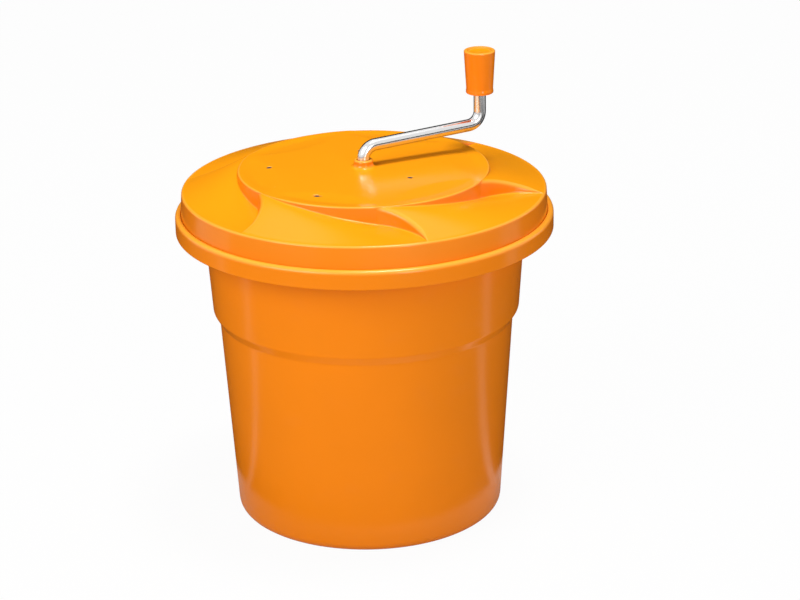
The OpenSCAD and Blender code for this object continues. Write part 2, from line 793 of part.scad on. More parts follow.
module driver_pinion() {
    color(acetal)
    difference() {
        translate([0, 0, driver_low])
        rotate([0, 0, idler_turn + 180 / pinion_teeth])
        spur_gear(pinion_teeth, gear_w);
        square_hole(driver_low - 1, gear_w + 2);
    }
}

module driver_clip() {
    inner = square_w / 2 - 0.4 + snug;
    color(steel)
    translate([0, 0, driver_top])
    difference() {
        cylinder(r = inner + 3, h = clip_t - 0.5);
        translate([0, 0, -1]) cylinder(r = inner, h = clip_t + 1);
        translate([0, -1, -1]) cube([inner + 4, 2, clip_t + 1]);
    }
}

// ---- crank ----

// Bend of the bar in the XZ plane, from straight up to nearly level, a hair thinner than
// the straight bar and lapped into it at both ends
module bend(angle) {
    lap = 1.2;
    translate([bend_r, 0, 0])
    rotate([90, 0, 0])
    rotate([0, 0, 180 - angle - lap])
    rotate_extrude(angle = angle + 2 * lap)
    translate([bend_r, 0]) circle(r = rod_r - snug);
}

module crank_rod() {
    turn = 90 - arm_slope;
    arm_l = arm_dx / cos(arm_slope);
    tap_l = 14;
    color(steel)
    rotate([0, 0, crank_turn])
    difference() {
        union() {
            translate([0, 0, wheel_low + 0.3]) square_end(gear_w);
            translate([0, 0, wheel_top]) cylinder(r = rod_r, h = bend_z - wheel_top);
            translate([0, 0, bend_z]) bend(turn);
            translate([bend_r - bend_r * sin(arm_slope), 0, bend_z + bend_r * cos(arm_slope)])
            rotate([0, 90 - arm_slope, 0])
            cylinder(r = rod_r, h = arm_l);
            translate([crank_l, 0, bend2_z]) rotate([0, 180, 0]) bend(turn);
            translate([crank_l, 0, bend2_z]) cylinder(r = rod_r, h = shoulder_z - bend2_z);
            translate([crank_l, 0, shoulder_z - eps]) cylinder(r = spindle_r, h = spindle_z - shoulder_z);
        }
        translate([0, 0, wheel_low - 1]) cylinder(r = end_screw_r + snug, h = tap_l);
        translate([crank_l, 0, spindle_z - tap_l]) cylinder(r = end_screw_r + snug, h = tap_l + 1);
    }
}

module crank_gear() {
    color(acetal)
    difference() {
        translate([0, 0, wheel_low]) rotate([0, 0, idler_turn]) spur_gear(wheel_teeth, gear_w);
        rotate([0, 0, crank_turn]) square_hole(wheel_low - 1, gear_w + 2);
    }
}

module washer(outer, inner) {
    difference() {
        cylinder(r = outer, h = washer_t);
        translate([0, 0, -1]) cylinder(r = inner, h = washer_t + 2);
    }
}

module thrust_washer() {
    color(steel)
    translate([0, 0, wheel_top]) washer(rod_r + 4, rod_r + snug);
}

module crank_washer() {
    color(steel)
    translate([0, 0, wheel_low - washer_t]) washer(rod_r + 3, end_screw_r + snug);
}

module crank_screw() {
    color(steel)
    translate([0, 0, wheel_low - washer_t]) mirror([0, 0, 1]) screw(end_screw_r, 12);
}

// ---- knob ----

module knob() {
    bore = spindle_r + running;
    pocket_r = cap_r - 1.5;
    pocket_z = spindle_z - 1;
    outline = concat(
        arc(knob_low_r - 2, knob_z + 2, 2, -90, 0),
        arc(knob_top_r - 1.2, knob_z + knob_h - 1.2, 1.2, 0, 90),
        [[cap_r + 0.6, knob_z + knob_h], [cap_r, cap_z + cap_t], [cap_r, cap_z], [pocket_r, cap_z]],
        [[pocket_r, pocket_z], [bore, pocket_z], [bore, shoulder_z + play]],
        [[rod_r + 0.5, shoulder_z + play], [rod_r + 0.5, knob_z]]
    );
    color(orange)
    translate([knob_pos[0], knob_pos[1], 0])
    rotate_extrude() polygon(outline);
}

module knob_cap() {
    rim = cap_r - snug;
    dish = 0.8;
    color(light_orange)
    translate([knob_pos[0], knob_pos[1], 0])
    rotate_extrude()
    polygon([[0, cap_z], [rim, cap_z], [rim, cap_z + cap_t], [rim - 2, cap_z + cap_t], [0, cap_z + cap_t - dish]]);
}

module knob_washer() {
    color(steel)
    translate([knob_pos[0], knob_pos[1], spindle_z]) washer(spindle_r + 3, end_screw_r + snug);
}

module knob_screw() {
    color(steel)
    translate([knob_pos[0], knob_pos[1], spindle_z + washer_t]) screw(end_screw_r, 12);
}

bucket();
pivot_pin();
pivot_bush();
bush_clip();
basket();
hub_cap();
drive_bar();
bar_screws();
lid();
crank_bush();
case_seal();
gear_case();
case_screws();
hole_plugs();
idler_pin();
idler_gear();
driver_bush();
driver_shaft();
driver_pinion();
driver_clip();
crank_rod();
crank_gear();
thrust_washer();
crank_screw();
crank_washer();
knob();
knob_cap();
knob_screw();
knob_washer();
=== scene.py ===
"""Looks of a hand-cranked salad spinner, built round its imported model.

The bucket, the lid, the crank's bar and the knob are worked out here as fine surfaces. The
basket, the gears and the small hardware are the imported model's own, with better finishes.
All sizes are in metres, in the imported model's frame.
"""

import math

import bpy
import numpy as np
from bpy.props import FloatProperty, FloatVectorProperty, IntProperty, PointerProperty
from mathutils import Matrix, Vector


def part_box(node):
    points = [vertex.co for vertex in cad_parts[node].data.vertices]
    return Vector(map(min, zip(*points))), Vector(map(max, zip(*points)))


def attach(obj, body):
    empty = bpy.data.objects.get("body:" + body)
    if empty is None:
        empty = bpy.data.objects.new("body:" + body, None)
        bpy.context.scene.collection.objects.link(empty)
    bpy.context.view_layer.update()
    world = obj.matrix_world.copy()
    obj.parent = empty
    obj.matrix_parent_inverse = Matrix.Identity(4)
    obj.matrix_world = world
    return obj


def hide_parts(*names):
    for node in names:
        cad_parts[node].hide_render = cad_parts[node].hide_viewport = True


bl_info = {
    "name": "Salad spinner",
    "version": (1, 0, 0),
    "blender": (4, 5, 0),
    "location": "3D View > Sidebar > Spinner",
    "description": "Builds the visible surfaces of a hand-cranked salad spinner",
    "category": "Object",
}

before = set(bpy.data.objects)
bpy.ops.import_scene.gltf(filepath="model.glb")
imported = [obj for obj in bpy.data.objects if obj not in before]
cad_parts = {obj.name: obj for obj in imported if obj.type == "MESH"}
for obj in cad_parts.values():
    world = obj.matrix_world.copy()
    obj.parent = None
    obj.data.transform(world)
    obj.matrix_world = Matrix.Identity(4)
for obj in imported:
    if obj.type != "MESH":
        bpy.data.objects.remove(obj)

COLLAR_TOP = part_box("lid")[1].z
KNOB_LOW, KNOB_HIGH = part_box("knob")
BUCKET_COLUMNS, HOLE_COLUMNS, KNOB_COLUMNS, BAR_COLUMNS = 300, 32, 96, 48  # round each surface
SHORT_EDGE = 1e-4  # shorter mesh edges say nothing about a bend
SAME_POINT = 1e-7  # a row that is narrower than this is one point


# ---- sizes and colours that a user would change ----


def length(name, description, default):
    """A size in metres, shown with its unit."""
    return FloatProperty(
        name=name, description=description, default=default, min=0, precision=4,
        subtype="DISTANCE", unit="LENGTH",
    )


def angle(name, description, degrees):
    """An angle, given in degrees and kept in radians."""
    return FloatProperty(
        name=name, description=description, default=math.radians(degrees),
        subtype="ANGLE", unit="ROTATION",
    )


def colour(name, description, default):
    """A linear colour."""
    return FloatVectorProperty(
        name=name, description=description, default=default, min=0, max=1, size=3,
        subtype="COLOR",
    )


def number(name, description, default):
    """A plain number."""
    return FloatProperty(name=name, description=description, default=default, min=0)


class SpinnerBucket(bpy.types.PropertyGroup):
    """Sizes of the bucket"""

    ground_r: length("Radius at the ground", "Radius of the lower wall at the ground", 0.1194)
    step_r: length("Radius under the step", "Radius of the lower wall just under the step", 0.1314)
    shoulder_r: length("Radius over the step", "Radius of the upper wall over the step", 0.1369)
    mouth_r: length("Radius at the mouth", "Radius of the upper wall at the rim", 0.1431)
    step_z: length("Height of the step", "Height at which the wall starts to step out", 0.182)
    step_h: length("Rise of the step", "Height over which the wall steps out", 0.009)
    wall: length("Wall", "Wall thickness", 0.003)
    rest_z: length("Lid's rest", "Height of the face that the lid rests on", 0.278)
    rim_r: length("Rim radius", "Outside radius of the rim band", 0.1675)
    band_h: length("Rim band", "Height of the rim band, bead included", 0.0167)
    bead_h: length("Bead height", "Height of the bead over the lid's rest", 0.0028)
    bead_w: length("Bead width", "Width of the bead", 0.0049)
    bead_round: length("Bead rounding", "Rounding of the bead's outer edge", 0.0036)
    foot_h: length("Foot hollow", "Height of the hollow under the floor", 0.002)
    foot_w: length("Foot ring", "Width of the ring that the bucket stands on", 0.022)
    corner_r: length("Corner", "Rounding between floor and wall", 0.008)
    tower_z: length("Tower", "Height of the tower's top", 0.034)


class SpinnerLid(bpy.types.PropertyGroup):
    """Sizes of the lid"""

    low_z: length("Lower edge", "Height of the lid's lower edge", COLLAR_TOP - 0.0471)
    edge_r: length("Radius", "Outside radius at the lower edge", 0.1623)
    draft: length("Draft", "How far the band draws in towards the top", 0.001)
    band_h: length("Band", "Height of the band", 0.0223)
    edge_round: length("Edge rounding", "Rounding of the upper edge", 0.002)
    skin: length("Skin", "Thickness of the moulding", 0.0028)
    top_r: length("Raised middle", "Radius of the raised middle", 0.111)
    top_rise: length("Rise", "Height of the raised middle over the edge", 0.0182)
    crown: length("Crown", "How much the raised middle falls from its middle to its edge", 0.0006)
    crown_r: length("Crown radius", "Radius from which the raised middle starts to fall", 0.04)
    dip: length("Dip", "Depth to which a ramp's start bites into the raised middle", 0.001)
    dip_r: length("Dip radius", "Radius of the soft crease round a dip", 0.0857)
    dip_far: length("Dip distance", "Distance from the crank to the centre of that crease", 0.1625)
    dip_turn: angle("Dip direction", "Direction of the first crease's centre", -49.7)
    case_x: length("Case offset", "Distance from the crank to the gear case's centre", 0.026)
    case_turn: angle("Case direction", "Direction from the crank to the gear case's centre", 214.4)
    ramps: IntProperty(name="Ramps", description="Number of ramps", default=6, min=3)
    ramp_drop: length("Ramp drop", "Depth of a ramp at its low end", 0.0165)
    ramp_bend: number("Ramp bend", "How late a ramp sinks, where 1 is a steady slope", 1.5)
    ridge_r: length("Ridge radius", "Radius of the curved step between two ramps", 0.061)
    ridge_bite: length("Ridge bite", "How far that curve reaches into the raised middle", 0.0024)
    ridge_turn: angle("Ridge direction", "Direction of the first curve's centre", -32)
    ridge_round: length("Ridge rounding", "Rounding along the head of a ridge", 0.0034)
    top_round: length("Edge of the middle", "Rounding along the edge of the raised middle", 0.0014)
    foot_fillet: length("Foot fillet", "Fillet along the foot of the walls", 0.0018)
    lean: angle("Lean", "Draft of the walls", 4)
    collar_r: length("Collar radius", "Radius of the collar round the crank", 0.0085)
    collar_h: length("Collar height", "Height of the collar", 0.0068)
    collar_round: length("Collar rounding", "Rounding of the collar's upper edge", 0.0016)
    collar_fillet: length("Collar fillet", "Fillet at the collar's foot", 0.0038)
    bore_r: length("Collar bore", "Radius of the collar's bore", 0.00698)
    lip_r: length("Lip radius", "Radius of the hole in the collar's lip", 0.0061)
    lip_h: length("Lip height", "Thickness of the lip over the bush", 0.0015)
    hole_r: length("Screw hole", "Radius of the four holes over the case screws", 0.0025)
    hole_circle: length("Hole circle", "Radius of the circle of those holes", 0.0645)
    hole_turn: angle("First hole", "Direction of the first hole from the case", 73)
    plug_deep: length("Plug's depth", "How far a plug lies under the surface by its hole", 0.0003)
    ring_r: length("Locating ring", "Radius of the ring that goes into the bucket", 0.137)
    ring_t: length("Ring wall", "Thickness of the locating ring", 0.0025)
    ring_z: length("Ring end", "Height of the locating ring's lower end", 0.268)


class SpinnerCrank(bpy.types.PropertyGroup):
    """Sizes of the crank's bar and of the knob"""

    bar_r: length("Bar radius", "Radius of the round bar", 0.0055)
    reach: length("Reach", "Distance from the crank's axis to the knob's axis", 0.1157)
    turn: angle("Direction", "Direction of the arm", 25)
    bend_r: length("Bend", "Radius of the bends along the bar's middle", 0.012)
    bend_z: length("First bend", "Height at which the bar starts to bend", 0.3251)
    slope: angle("Slope", "Upward slope of the arm", 2.35)
    square: length("Square end", "Width of the square end in the gear", 0.0074)
    square_z: length("Square end's height", "Height of the square end's lower face", 0.3049)
    round_z: length("Round bar's start", "Height at which the bar becomes round", 0.3116)
    spindle_r: length("Spindle radius", "Radius of the spindle in the knob", 0.004)
    knob_low_r: length("Knob, lower radius", "Radius of the knob over its lip", 0.012)
    knob_lip: length("Knob's lip", "How far the lip at the lower end stands out", 0.0003)
    knob_top_r: length("Knob, upper radius", "Radius of the knob at its top", 0.014)
    cap_r: length("Cap radius", "Radius of the knob's cap", 0.0105)
    cap_sink: length("Cap's sink", "Depth of the cap under the knob's rim", 0.001)
    dish: length("Dish", "Depth of the dish in the cap", 0.0008)


class SpinnerFinish(bpy.types.PropertyGroup):
    """Colours of the finishes, linear"""

    side: colour("Orange", "Orange of the sides", (0.93, 0.24, 0.002))
    # Painted light: faces that look up get this paler tint, which stands in for the light from
    # above.
    upper: colour("Pale orange", "Paler orange of faces that look up", (0.97, 0.342, 0.004))
    # Painted highlight: the rounded edges on top get this palest tint, which stands in for the
    # gloss along them.
    edge_highlight: colour("Worn orange", "Palest orange of the rounded edges on top", (1.0, 0.52, 0.1))
    basket: colour("Basket", "Off-white of the basket and gear case", (0.80, 0.79, 0.74))
    acetal: colour("Acetal", "Natural acetal of gears and bushes", (0.74, 0.71, 0.63))
    steel: colour("Bar steel", "Drawn stainless bar", (0.78, 0.78, 0.78))
    hardware: colour("Hardware", "Bright stainless screws and pins", (0.56, 0.56, 0.57))
    # Also the black of the lid's plugs, where it is painted shade that stands in for the shade
    # inside the holes.
    rubber: colour("Rubber", "Black seal", (0.02, 0.02, 0.021))


class SpinnerStage(bpy.types.PropertyGroup):
    """The floor, the lamps and the camera"""

    floor: colour("Floor", "Pale floor", (0.66, 0.66, 0.66))
    sky: number("Sky", "Brightness of the sky on the object", 0.26)
    key: number("Key lamp", "Power of the key lamp in watts", 39)
    side: number("Side lamp", "Power of the side lamp in watts", 14)
    top: number("Top lamp", "Power of the lamp overhead in watts", 144)
    lens: number("Lens", "Focal length of the camera in mm", 123.597)


# ---- surfaces ----


def rounded(corners, steps=6):
    """Polyline through corners (across, up, rounding). At each corner an arc touches both sides:
    it starts rounding / tan(h) from the corner, where h is half the angle between the sides, and
    its centre lies rounding / sin(h) from the corner on their bisector."""
    out = []
    for k, (x, y, r) in enumerate(corners):
        here = np.array([x, y], float)
        if r <= 0 or k in (0, len(corners) - 1):
            out.append(here[None])
            continue
        back = np.array(corners[k - 1][:2]) - here
        on = np.array(corners[k + 1][:2]) - here
        back, on = back / np.linalg.norm(back), on / np.linalg.norm(on)
        h = math.acos(np.clip(back @ on, -1, 1)) / 2
        centre = here + (back + on) / np.linalg.norm(back + on) * r / math.sin(h)
        a = here + back * r / math.tan(h) - centre
        b = here + on * r / math.tan(h) - centre
        sweep = math.atan2(a[0] * b[1] - a[1] * b[0], a @ b)
        t = np.linspace(0, sweep, steps + 1)[:, None]
        out.append(centre + a * np.cos(t) + np.array([-a[1], a[0]]) * np.sin(t))
    return np.concatenate(out)


def braced(line, near=0.0006):
    """The same polyline with a point close to both ends of each long side, so that smooth
    shading stays flat between them: p + near * d and q - near * d for a side p to q."""
    d = np.diff(line, axis=0)
    size = np.linalg.norm(d, axis=1)
    out = []
    for k in range(len(d)):
        out.append(line[k][None])
        if size[k] > 5 * near:
            out.append((line[k] + d[k] / size[k] * near)[None])
            out.append((line[k + 1] - d[k] / size[k] * near)[None])
    out.append(line[-1][None])
    return np.concatenate(out)


def turned(line, columns, centre=(0, 0)):
    """Surface of revolution of a line of (r, z): x = r cos t, y = r sin t, z."""
    t = np.arange(columns) * 2 * math.pi / columns
    r, z = line[:, 0, None], line[:, 1, None]
    return np.stack([centre[0] + r * np.cos(t), centre[1] + r * np.sin(t), z + 0 * t], -1)


def skin(grid, ring=False):
    """Points and faces of a closed skin over a grid whose rows run round. With ring, the last
    row joins the first; otherwise a fan closes each end, in place of a row that is one point.
    The faces are turned outwards: the signed volume, the sum of a . (b x c) / 6 over all
    triangles, is positive."""
    ends = np.stack([grid[0].mean(0), grid[-1].mean(0)])
    grid = grid[np.ptp(grid, axis=1).max(-1) > SAME_POINT]
    rows, cols = grid.shape[:2]
    points = grid.reshape(-1, 3)
    i = np.arange(rows if ring else rows - 1)[:, None]
    j = np.arange(cols)[None]
    k, n = (i + 1) % rows, (j + 1) % cols
    quads = np.stack([i * cols + j, i * cols + n, k * cols + n, k * cols + j], -1).reshape(-1, 4)
    fans = np.zeros((0, 3), int)
    if not ring:
        low, high = len(points), len(points) + 1
        points = np.concatenate([points, ends])
        j, n = j[0], n[0]
        last = (rows - 1) * cols
        fans = np.concatenate([
            np.stack([n, j, 0 * j + low], -1),
            np.stack([last + j, last + n, 0 * j + high], -1),
        ])
    tris = np.concatenate([quads[:, [0, 1, 2]], quads[:, [0, 2, 3]], fans])
    a, b, c = (points[tris[:, m]] for m in range(3))
    if np.einsum("ij,ij->i", a, np.cross(b, c)).sum() < 0:
        quads, fans = quads[:, ::-1], fans[:, ::-1]
    return points, quads.tolist() + fans.tolist()


def new_object(name, data):
    """An object in the scene that holds the data."""
    made = bpy.data.objects.new(name, data)
    bpy.context.scene.collection.objects.link(made)
    return made


def piece(name, skins, sharp=35):
    """One object from closed skins, smooth except along edges sharper than the angle."""
    points, faces, start = [], [], 0
    for p, f in skins:
        points.append(p)
        faces += [[v + start for v in face] for face in f]
        start += len(p)
    mesh = bpy.data.meshes.new(name)
    mesh.from_pydata(np.concatenate(points).tolist(), [], faces)
    mesh.polygons.foreach_set("use_smooth", [True] * len(mesh.polygons))
    mesh.set_sharp_from_angle(angle=math.radians(sharp))
    mesh.update()
    return new_object(name, mesh)


def mesh_values(items, key, kind, width):
    """One property of all the items of a mesh, one row an item."""
    out = np.empty(len(items) * width, kind)
    items.foreach_get(key, out)
    return out.reshape(-1, width)


def mark_shape(mesh):
    """Keeps two values of each vertex for the finishes: "upward", the upward share of its normal
    n, and "edge", one over the radius at which the surface bends outwards there. Along a mesh
    edge d to a neighbour that is 2 n . d / |d|^2, and the largest one is kept."""
    normals = mesh_values(mesh.vertices, "normal", np.float32, 3)
    places = mesh_values(mesh.vertices, "co", np.float32, 3)
    ends = mesh_values(mesh.edges, "vertices", np.int32, 2)
    way = places[ends[:, 0]] - places[ends[:, 1]]
    size = np.linalg.norm(way, axis=1)
    bend = np.zeros(len(places), np.float32)
    for end, sign in ((0, 1), (1, -1)):
        along = sign * np.einsum("ij,ij->i", normals[ends[:, end]], way)
        value = np.where(size > SHORT_EDGE, 2 * along / np.maximum(size, SHORT_EDGE) ** 2, 0)
        np.maximum.at(bend, ends[:, end], value)
    # These two values feed the painted light of the orange finish: its paler top and its edge
    # highlight.
    for name, values in (("upward", normals[:, 2]), ("edge", bend)):
        kept = mesh.attributes.new(name, "FLOAT", "POINT")
        kept.data.foreach_set("value", np.ascontiguousarray(values))


def coat(made, finish):
    """Gives a piece its finish, and the values of its shape that the finish reads."""
    mark_shape(made.data)
    made.data.materials.append(finish)


def merged(grid, tolerance=1e-6):
    """The grid without rows that repeat the row before them."""
    step = np.abs(np.diff(grid, axis=0)).max(axis=(1, 2))
    return grid[np.concatenate([[True], step > tolerance])]


# ---- the bucket ----

TOWER_R, FLARE_R, FLARE_W, FLARE_H = 0.0125, 0.022, 0.008, 0.0145  # tower of the pivot pin
PIN_R, PIN_DEEP = 0.00502, 0.02  # hole for that pin
GATE_R, GATE_W, GATE_H = 0.006, 0.0041, 0.0006  # groove round the mould's gate


def bucket_line(b):
    """Section of the bucket as (r, z): under the floor, up the outside, over the rim, down the
    inside, and over the tower to the pin's hole."""
    slope = (b.step_r - b.ground_r) / b.step_z
    rise = (b.mouth_r - b.shoulder_r) / (b.rest_z - b.step_z - b.step_h)
    shoulder_z, under_z = b.step_z + b.step_h, b.rest_z - b.wall
    band_z, bead_z = b.rest_z + b.bead_h - b.band_h, b.rest_z + b.bead_h
    t, bead_in = b.wall, b.rim_r - b.bead_w
    ring_in = b.ground_r - b.corner_r - b.foot_w
    floor_z, pin_z = b.foot_h + t, b.tower_z - PIN_DEEP
    gate_out, gate_z = GATE_R + GATE_W, b.foot_h - GATE_H
    soft, foot_round, step_round, rim_round, flare_round = 0.0004, 0.0008, 0.005, 0.002, 0.004
    corners = [
        (0, b.foot_h, 0), (GATE_R, b.foot_h, soft), (GATE_R + GATE_H, gate_z, soft),
        (gate_out - GATE_H, gate_z, soft), (gate_out, b.foot_h, soft),
        (ring_in, b.foot_h, foot_round), (ring_in + b.foot_h, 0, foot_round),
        (b.ground_r, 0, b.corner_r), (b.step_r, b.step_z, step_round),
        (b.shoulder_r, shoulder_z, step_round),
        (b.shoulder_r + rise * (under_z - shoulder_z), under_z, rim_round),
        (b.rim_r - t, under_z, rim_round), (b.rim_r - t, band_z, 0.0006),
        (b.rim_r, band_z, 0.0009), (b.rim_r, bead_z, b.bead_round),
        (bead_in, bead_z, 0.0005), (bead_in, b.rest_z, 0.0006), (b.mouth_r - t, b.rest_z, 0.0015),
        (b.shoulder_r - t, shoulder_z, step_round), (b.step_r - t, b.step_z, step_round),
        (b.ground_r + slope * floor_z - t, floor_z, b.corner_r - t),
        (FLARE_R, floor_z, flare_round), (FLARE_R - FLARE_W, floor_z + FLARE_H, flare_round),
        (TOWER_R, b.tower_z, 0.0006), (PIN_R, b.tower_z, soft), (PIN_R, pin_z, 0), (0, pin_z, 0),
    ]
    return braced(rounded(corners))


class SPINNER_OT_bucket(bpy.types.Operator):
    """Makes the bucket: foot ring, stepped wall, flange, rim band, bead and pin tower"""

    bl_idname = "spinner.bucket"
    bl_label = "Bucket"

    def execute(self, context):
        sizes = context.scene.spinner_bucket
        made = piece("bucket_shell", [skin(turned(bucket_line(sizes), BUCKET_COLUMNS))])
        coat(made, orange_plastic("bucket_orange", context.scene.spinner_finish))
        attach(made, "bucket")
        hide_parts("bucket")
        return {"FINISHED"}


# ---- the lid ----

WALL_POINTS = 16  # that wall_section returns
LOWEST_RIDGE, LOWEST_WALL = 0.0015, 0.0012  # heights that still take their roundings
OVERLAP = 0.0002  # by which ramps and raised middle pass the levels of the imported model
DIP_WAY = 0.03  # over which a dip of the raised middle reaches its depth
FADE_WAY = 0.012  # over which it fades out near the edge
FLAT_R, UNDER_R = 0.016, 0.012  # of the flat round the collar, and of the last row underneath
BAND_ROUND = 0.0005  # rounding of the band's lower edges
RING_DEEP = 0.0012  # depth in the ramps at which the locating ring ends
WALL_OUT, WALL_IN = 0.001, 0.0004  # from the wall's line to where it meets the ramps
RAMPS_SHORT = 0.0012  # by which the ramps end short of the edge's rounding
POST_R, POST_BORE, POST_Z = 0.0055, 0.00202, 0.2966  # posts: radius, bore and lower end
POST_IN = 0.0008  # by which the posts reach into the lid
DRILL_DOWN, DRILL_UP = 0.002, 0.01  # how far the drill reaches past the inner face
FEWEST_FACES = 1000  # of a lid whose holes were cut well


def ramp_height(lid, edge_z, top_z, r, u):
    """Height of a ramp at radius r and share u of its way: from the raised middle's level at
    its start, sinking by drop * u ** bend, and level with the edge at the rim."""
    cone_r = lid.edge_r - lid.draft - lid.edge_round + OVERLAP
    out = np.clip((cone_r - r) / (cone_r - lid.top_r), 0, 1)
    low = edge_z - OVERLAP
    return low + (top_z - low - lid.ramp_drop * np.clip(u, 0, 1) ** lid.ramp_bend) * out


def ridge_course(lid, r):
    """Direction of the ridge at radius r, and the sine of its angle with the circle of r. The
    ridge is a circle of radius q round a point at the distance far from the crank, and so
    cos = (r^2 + far^2 - q^2) / (2 r far)."""
    far = lid.top_r + lid.ridge_r - lid.ridge_bite
    turn = np.arccos(np.clip((r * r + far * far - lid.ridge_r**2) / (2 * r * far), -1, 1))
    cross = np.clip((r * r + lid.ridge_r**2 - far * far) / (2 * r * lid.ridge_r), -1, 1)
    return lid.ridge_turn + turn, np.maximum(np.sqrt(1 - cross**2), 0.3)


def wall_section(high, head_r, foot_r, lean, steps=5):
    """Section of a leaning wall of each height in an array: how far each point lies from the
    wall's upper line, and its height as a share. The head is an arc of head_r and the foot one
    of foot_r, both drawn smaller where the wall is too low for them."""
    turn = np.linspace(0, math.pi / 2 - lean, steps + 1)[:, None]
    fit = np.minimum(1, 0.97 * high / ((head_r + foot_r) * (1 - math.sin(lean))))
    head, foot = head_r * fit, foot_r * fit
    start = -head * math.tan((math.pi / 2 - lean) / 2)
    head_x, head_z = start + head * np.sin(turn), high - head * (1 - np.cos(turn))
    foot_drop = foot * (1 - math.sin(lean))
    face = head_z[-1] - foot_drop
    foot_x = head_x[-1] + face * math.tan(lean) + foot * (math.cos(lean) - np.sin(turn[::-1]))
    foot_z = foot * (1 - np.cos(turn[::-1]))
    part = np.array([0.1, 0.9])[:, None]
    face_x = head_x[-1] + (foot_x[0] - head_x[-1]) * part
    face_z = head_z[-1] + (foot_z[0] - head_z[-1]) * part
    before, after = (start - 0.0005)[None], (foot_x[-1] + 0.0005)[None]
    across = np.concatenate([before, head_x, face_x, foot_x, after])
    up = np.concatenate([high[None], head_z, face_z, foot_z, 0 * after])
    return across, up / high


def lid_surface(lid, deep):
    """Grid of one face of the lid between the collar's foot and the rim: the outer face where
    deep is 0, and the inner one at that depth. Columns follow the ridges, and rows the wall
    round the raised middle, so each rounding has its own grid lines."""
    edge_z = lid.low_z + lid.band_h - deep
    top_z = lid.low_z + lid.band_h + lid.top_rise - OVERLAP - lid.crown - deep
    head, ridge_head = max(lid.top_round - deep, 0.0005), max(lid.ridge_round - deep, 0.0006)
    foot = lid.foot_fillet + deep
    sector = 2 * math.pi / lid.ramps
    wall_r = lid.top_r - deep
    cone_r = lid.edge_r - lid.draft - lid.edge_round + OVERLAP
    fill = np.linspace(0, 1, 22)[1:-1]
    kinds = np.concatenate([np.arange(WALL_POINTS)[::-1], np.zeros(len(fill), int)])
    shares = np.concatenate([-np.ones(WALL_POINTS), fill])
    pick = np.arange(len(kinds))

    def place(r):
        """Angles and heights of all columns of one sector at radii r, one radius a column. The
        ridge's step is laid over the ramps."""
        start, end = (ramp_height(lid, edge_z, top_z, r, 0 * r + u) for u in (0, 1))
        tall = np.maximum(start - end, LOWEST_RIDGE)
        across, up = wall_section(tall, ridge_head, foot, lid.lean)
        turn, sine = ridge_course(lid, r)
        first = -(across[0] - deep) / (r * sine)
        last = sector - (across[-1] - deep) / (r * sine)
        ridge = -(across[kinds, pick] - deep) / (r * sine)
        within = np.where(shares >= 0, first + (last - first) * np.maximum(shares, 0), ridge)
        share = np.where(shares >= 0, 1.0, up[kinds, pick])
        low = ramp_height(lid, edge_z, top_z, r, np.where(within < 0, 1 + within / sector, 1))
        high = ramp_height(lid, edge_z, top_z, r, np.maximum(within, 0) / sector)
        return turn + within, low + (high - low) * share

    _, start = place(np.full(len(kinds), wall_r + WALL_OUT))
    tall = np.maximum(top_z - start, LOWEST_WALL)
    rows = []
    for across, up in zip(*wall_section(tall, head, foot, lid.lean)):
        r = wall_r + across
        turn, z = place(np.maximum(r, wall_r - WALL_IN))
        rows.append((r, turn, z + (top_z - z) * up))
    outer_r = rows[-1][0]
    for share in np.linspace(0, 1, 26)[1:]:
        r = outer_r + (cone_r - RAMPS_SHORT - outer_r) * share
        rows.append((r, *place(r)))
    r, turn, z = np.array(rows).transpose(1, 0, 2)
    r, z = np.tile(r, lid.ramps), np.tile(z, lid.ramps)
    sectors = np.arange(lid.ramps) * sector
    turn = (turn[:, None] + sectors[:, None]).reshape(len(turn), -1)
    return np.stack([r * np.cos(turn), r * np.sin(turn), z], -1), turn[0], r[0], top_z, edge_z


def middle_height(lid, r, turn, high_z):
    """Rows over the raised middle. It falls from high_z to its edge by crown * s, where s is the
    smooth step 3 t^2 - 2 t^3 of the way outwards. Inside each crease, a circle round a point
    outside the middle, it dips by dip * t * (2 - t) more, and that fades out near the edge."""
    t = np.clip((r - lid.crown_r) / (lid.top_r - 0.003 - lid.crown_r), 0, 1)
    z = high_z - lid.crown * t * t * (3 - 2 * t) + 0 * turn
    x, y = r * np.cos(turn), r * np.sin(turn)
    for k in range(lid.ramps):
        a = lid.dip_turn + k * 2 * math.pi / lid.ramps
        inside = lid.dip_r - np.hypot(x - lid.dip_far * math.cos(a), y - lid.dip_far * math.sin(a))
        t = np.clip(inside / DIP_WAY, 0, 1)
        fade = np.clip((lid.top_r - 0.002 - r) / FADE_WAY, 0, 1)
        z = z - lid.dip * t * (2 - t) * fade * fade * (3 - 2 * fade)
    return np.stack([x, y, z], -1)


def rows_at(line, turn):
    """Rows of a grid through points (r, z) in the given directions; r or z may be arrays."""
    return np.array([
        np.stack([r * np.cos(turn), r * np.sin(turn), z + 0 * turn], -1) for r, z in line
    ])


def collar_line(lid, under_z, high_z):
    """Section of the collar as (r, z): up its bore from under_z, over the lip, and down to the
    raised middle at high_z."""
    top = high_z + lid.collar_h
    lip = top - lid.lip_h
    return rounded([
        (lid.bore_r, under_z, 0), (lid.bore_r, lip, 0), (lid.lip_r, lip, 0),
        (lid.lip_r, top, 0.0003), (lid.collar_r, top, lid.collar_round),
        (lid.collar_r, high_z, lid.collar_fillet), (FLAT_R, high_z, 0),
    ], 7)


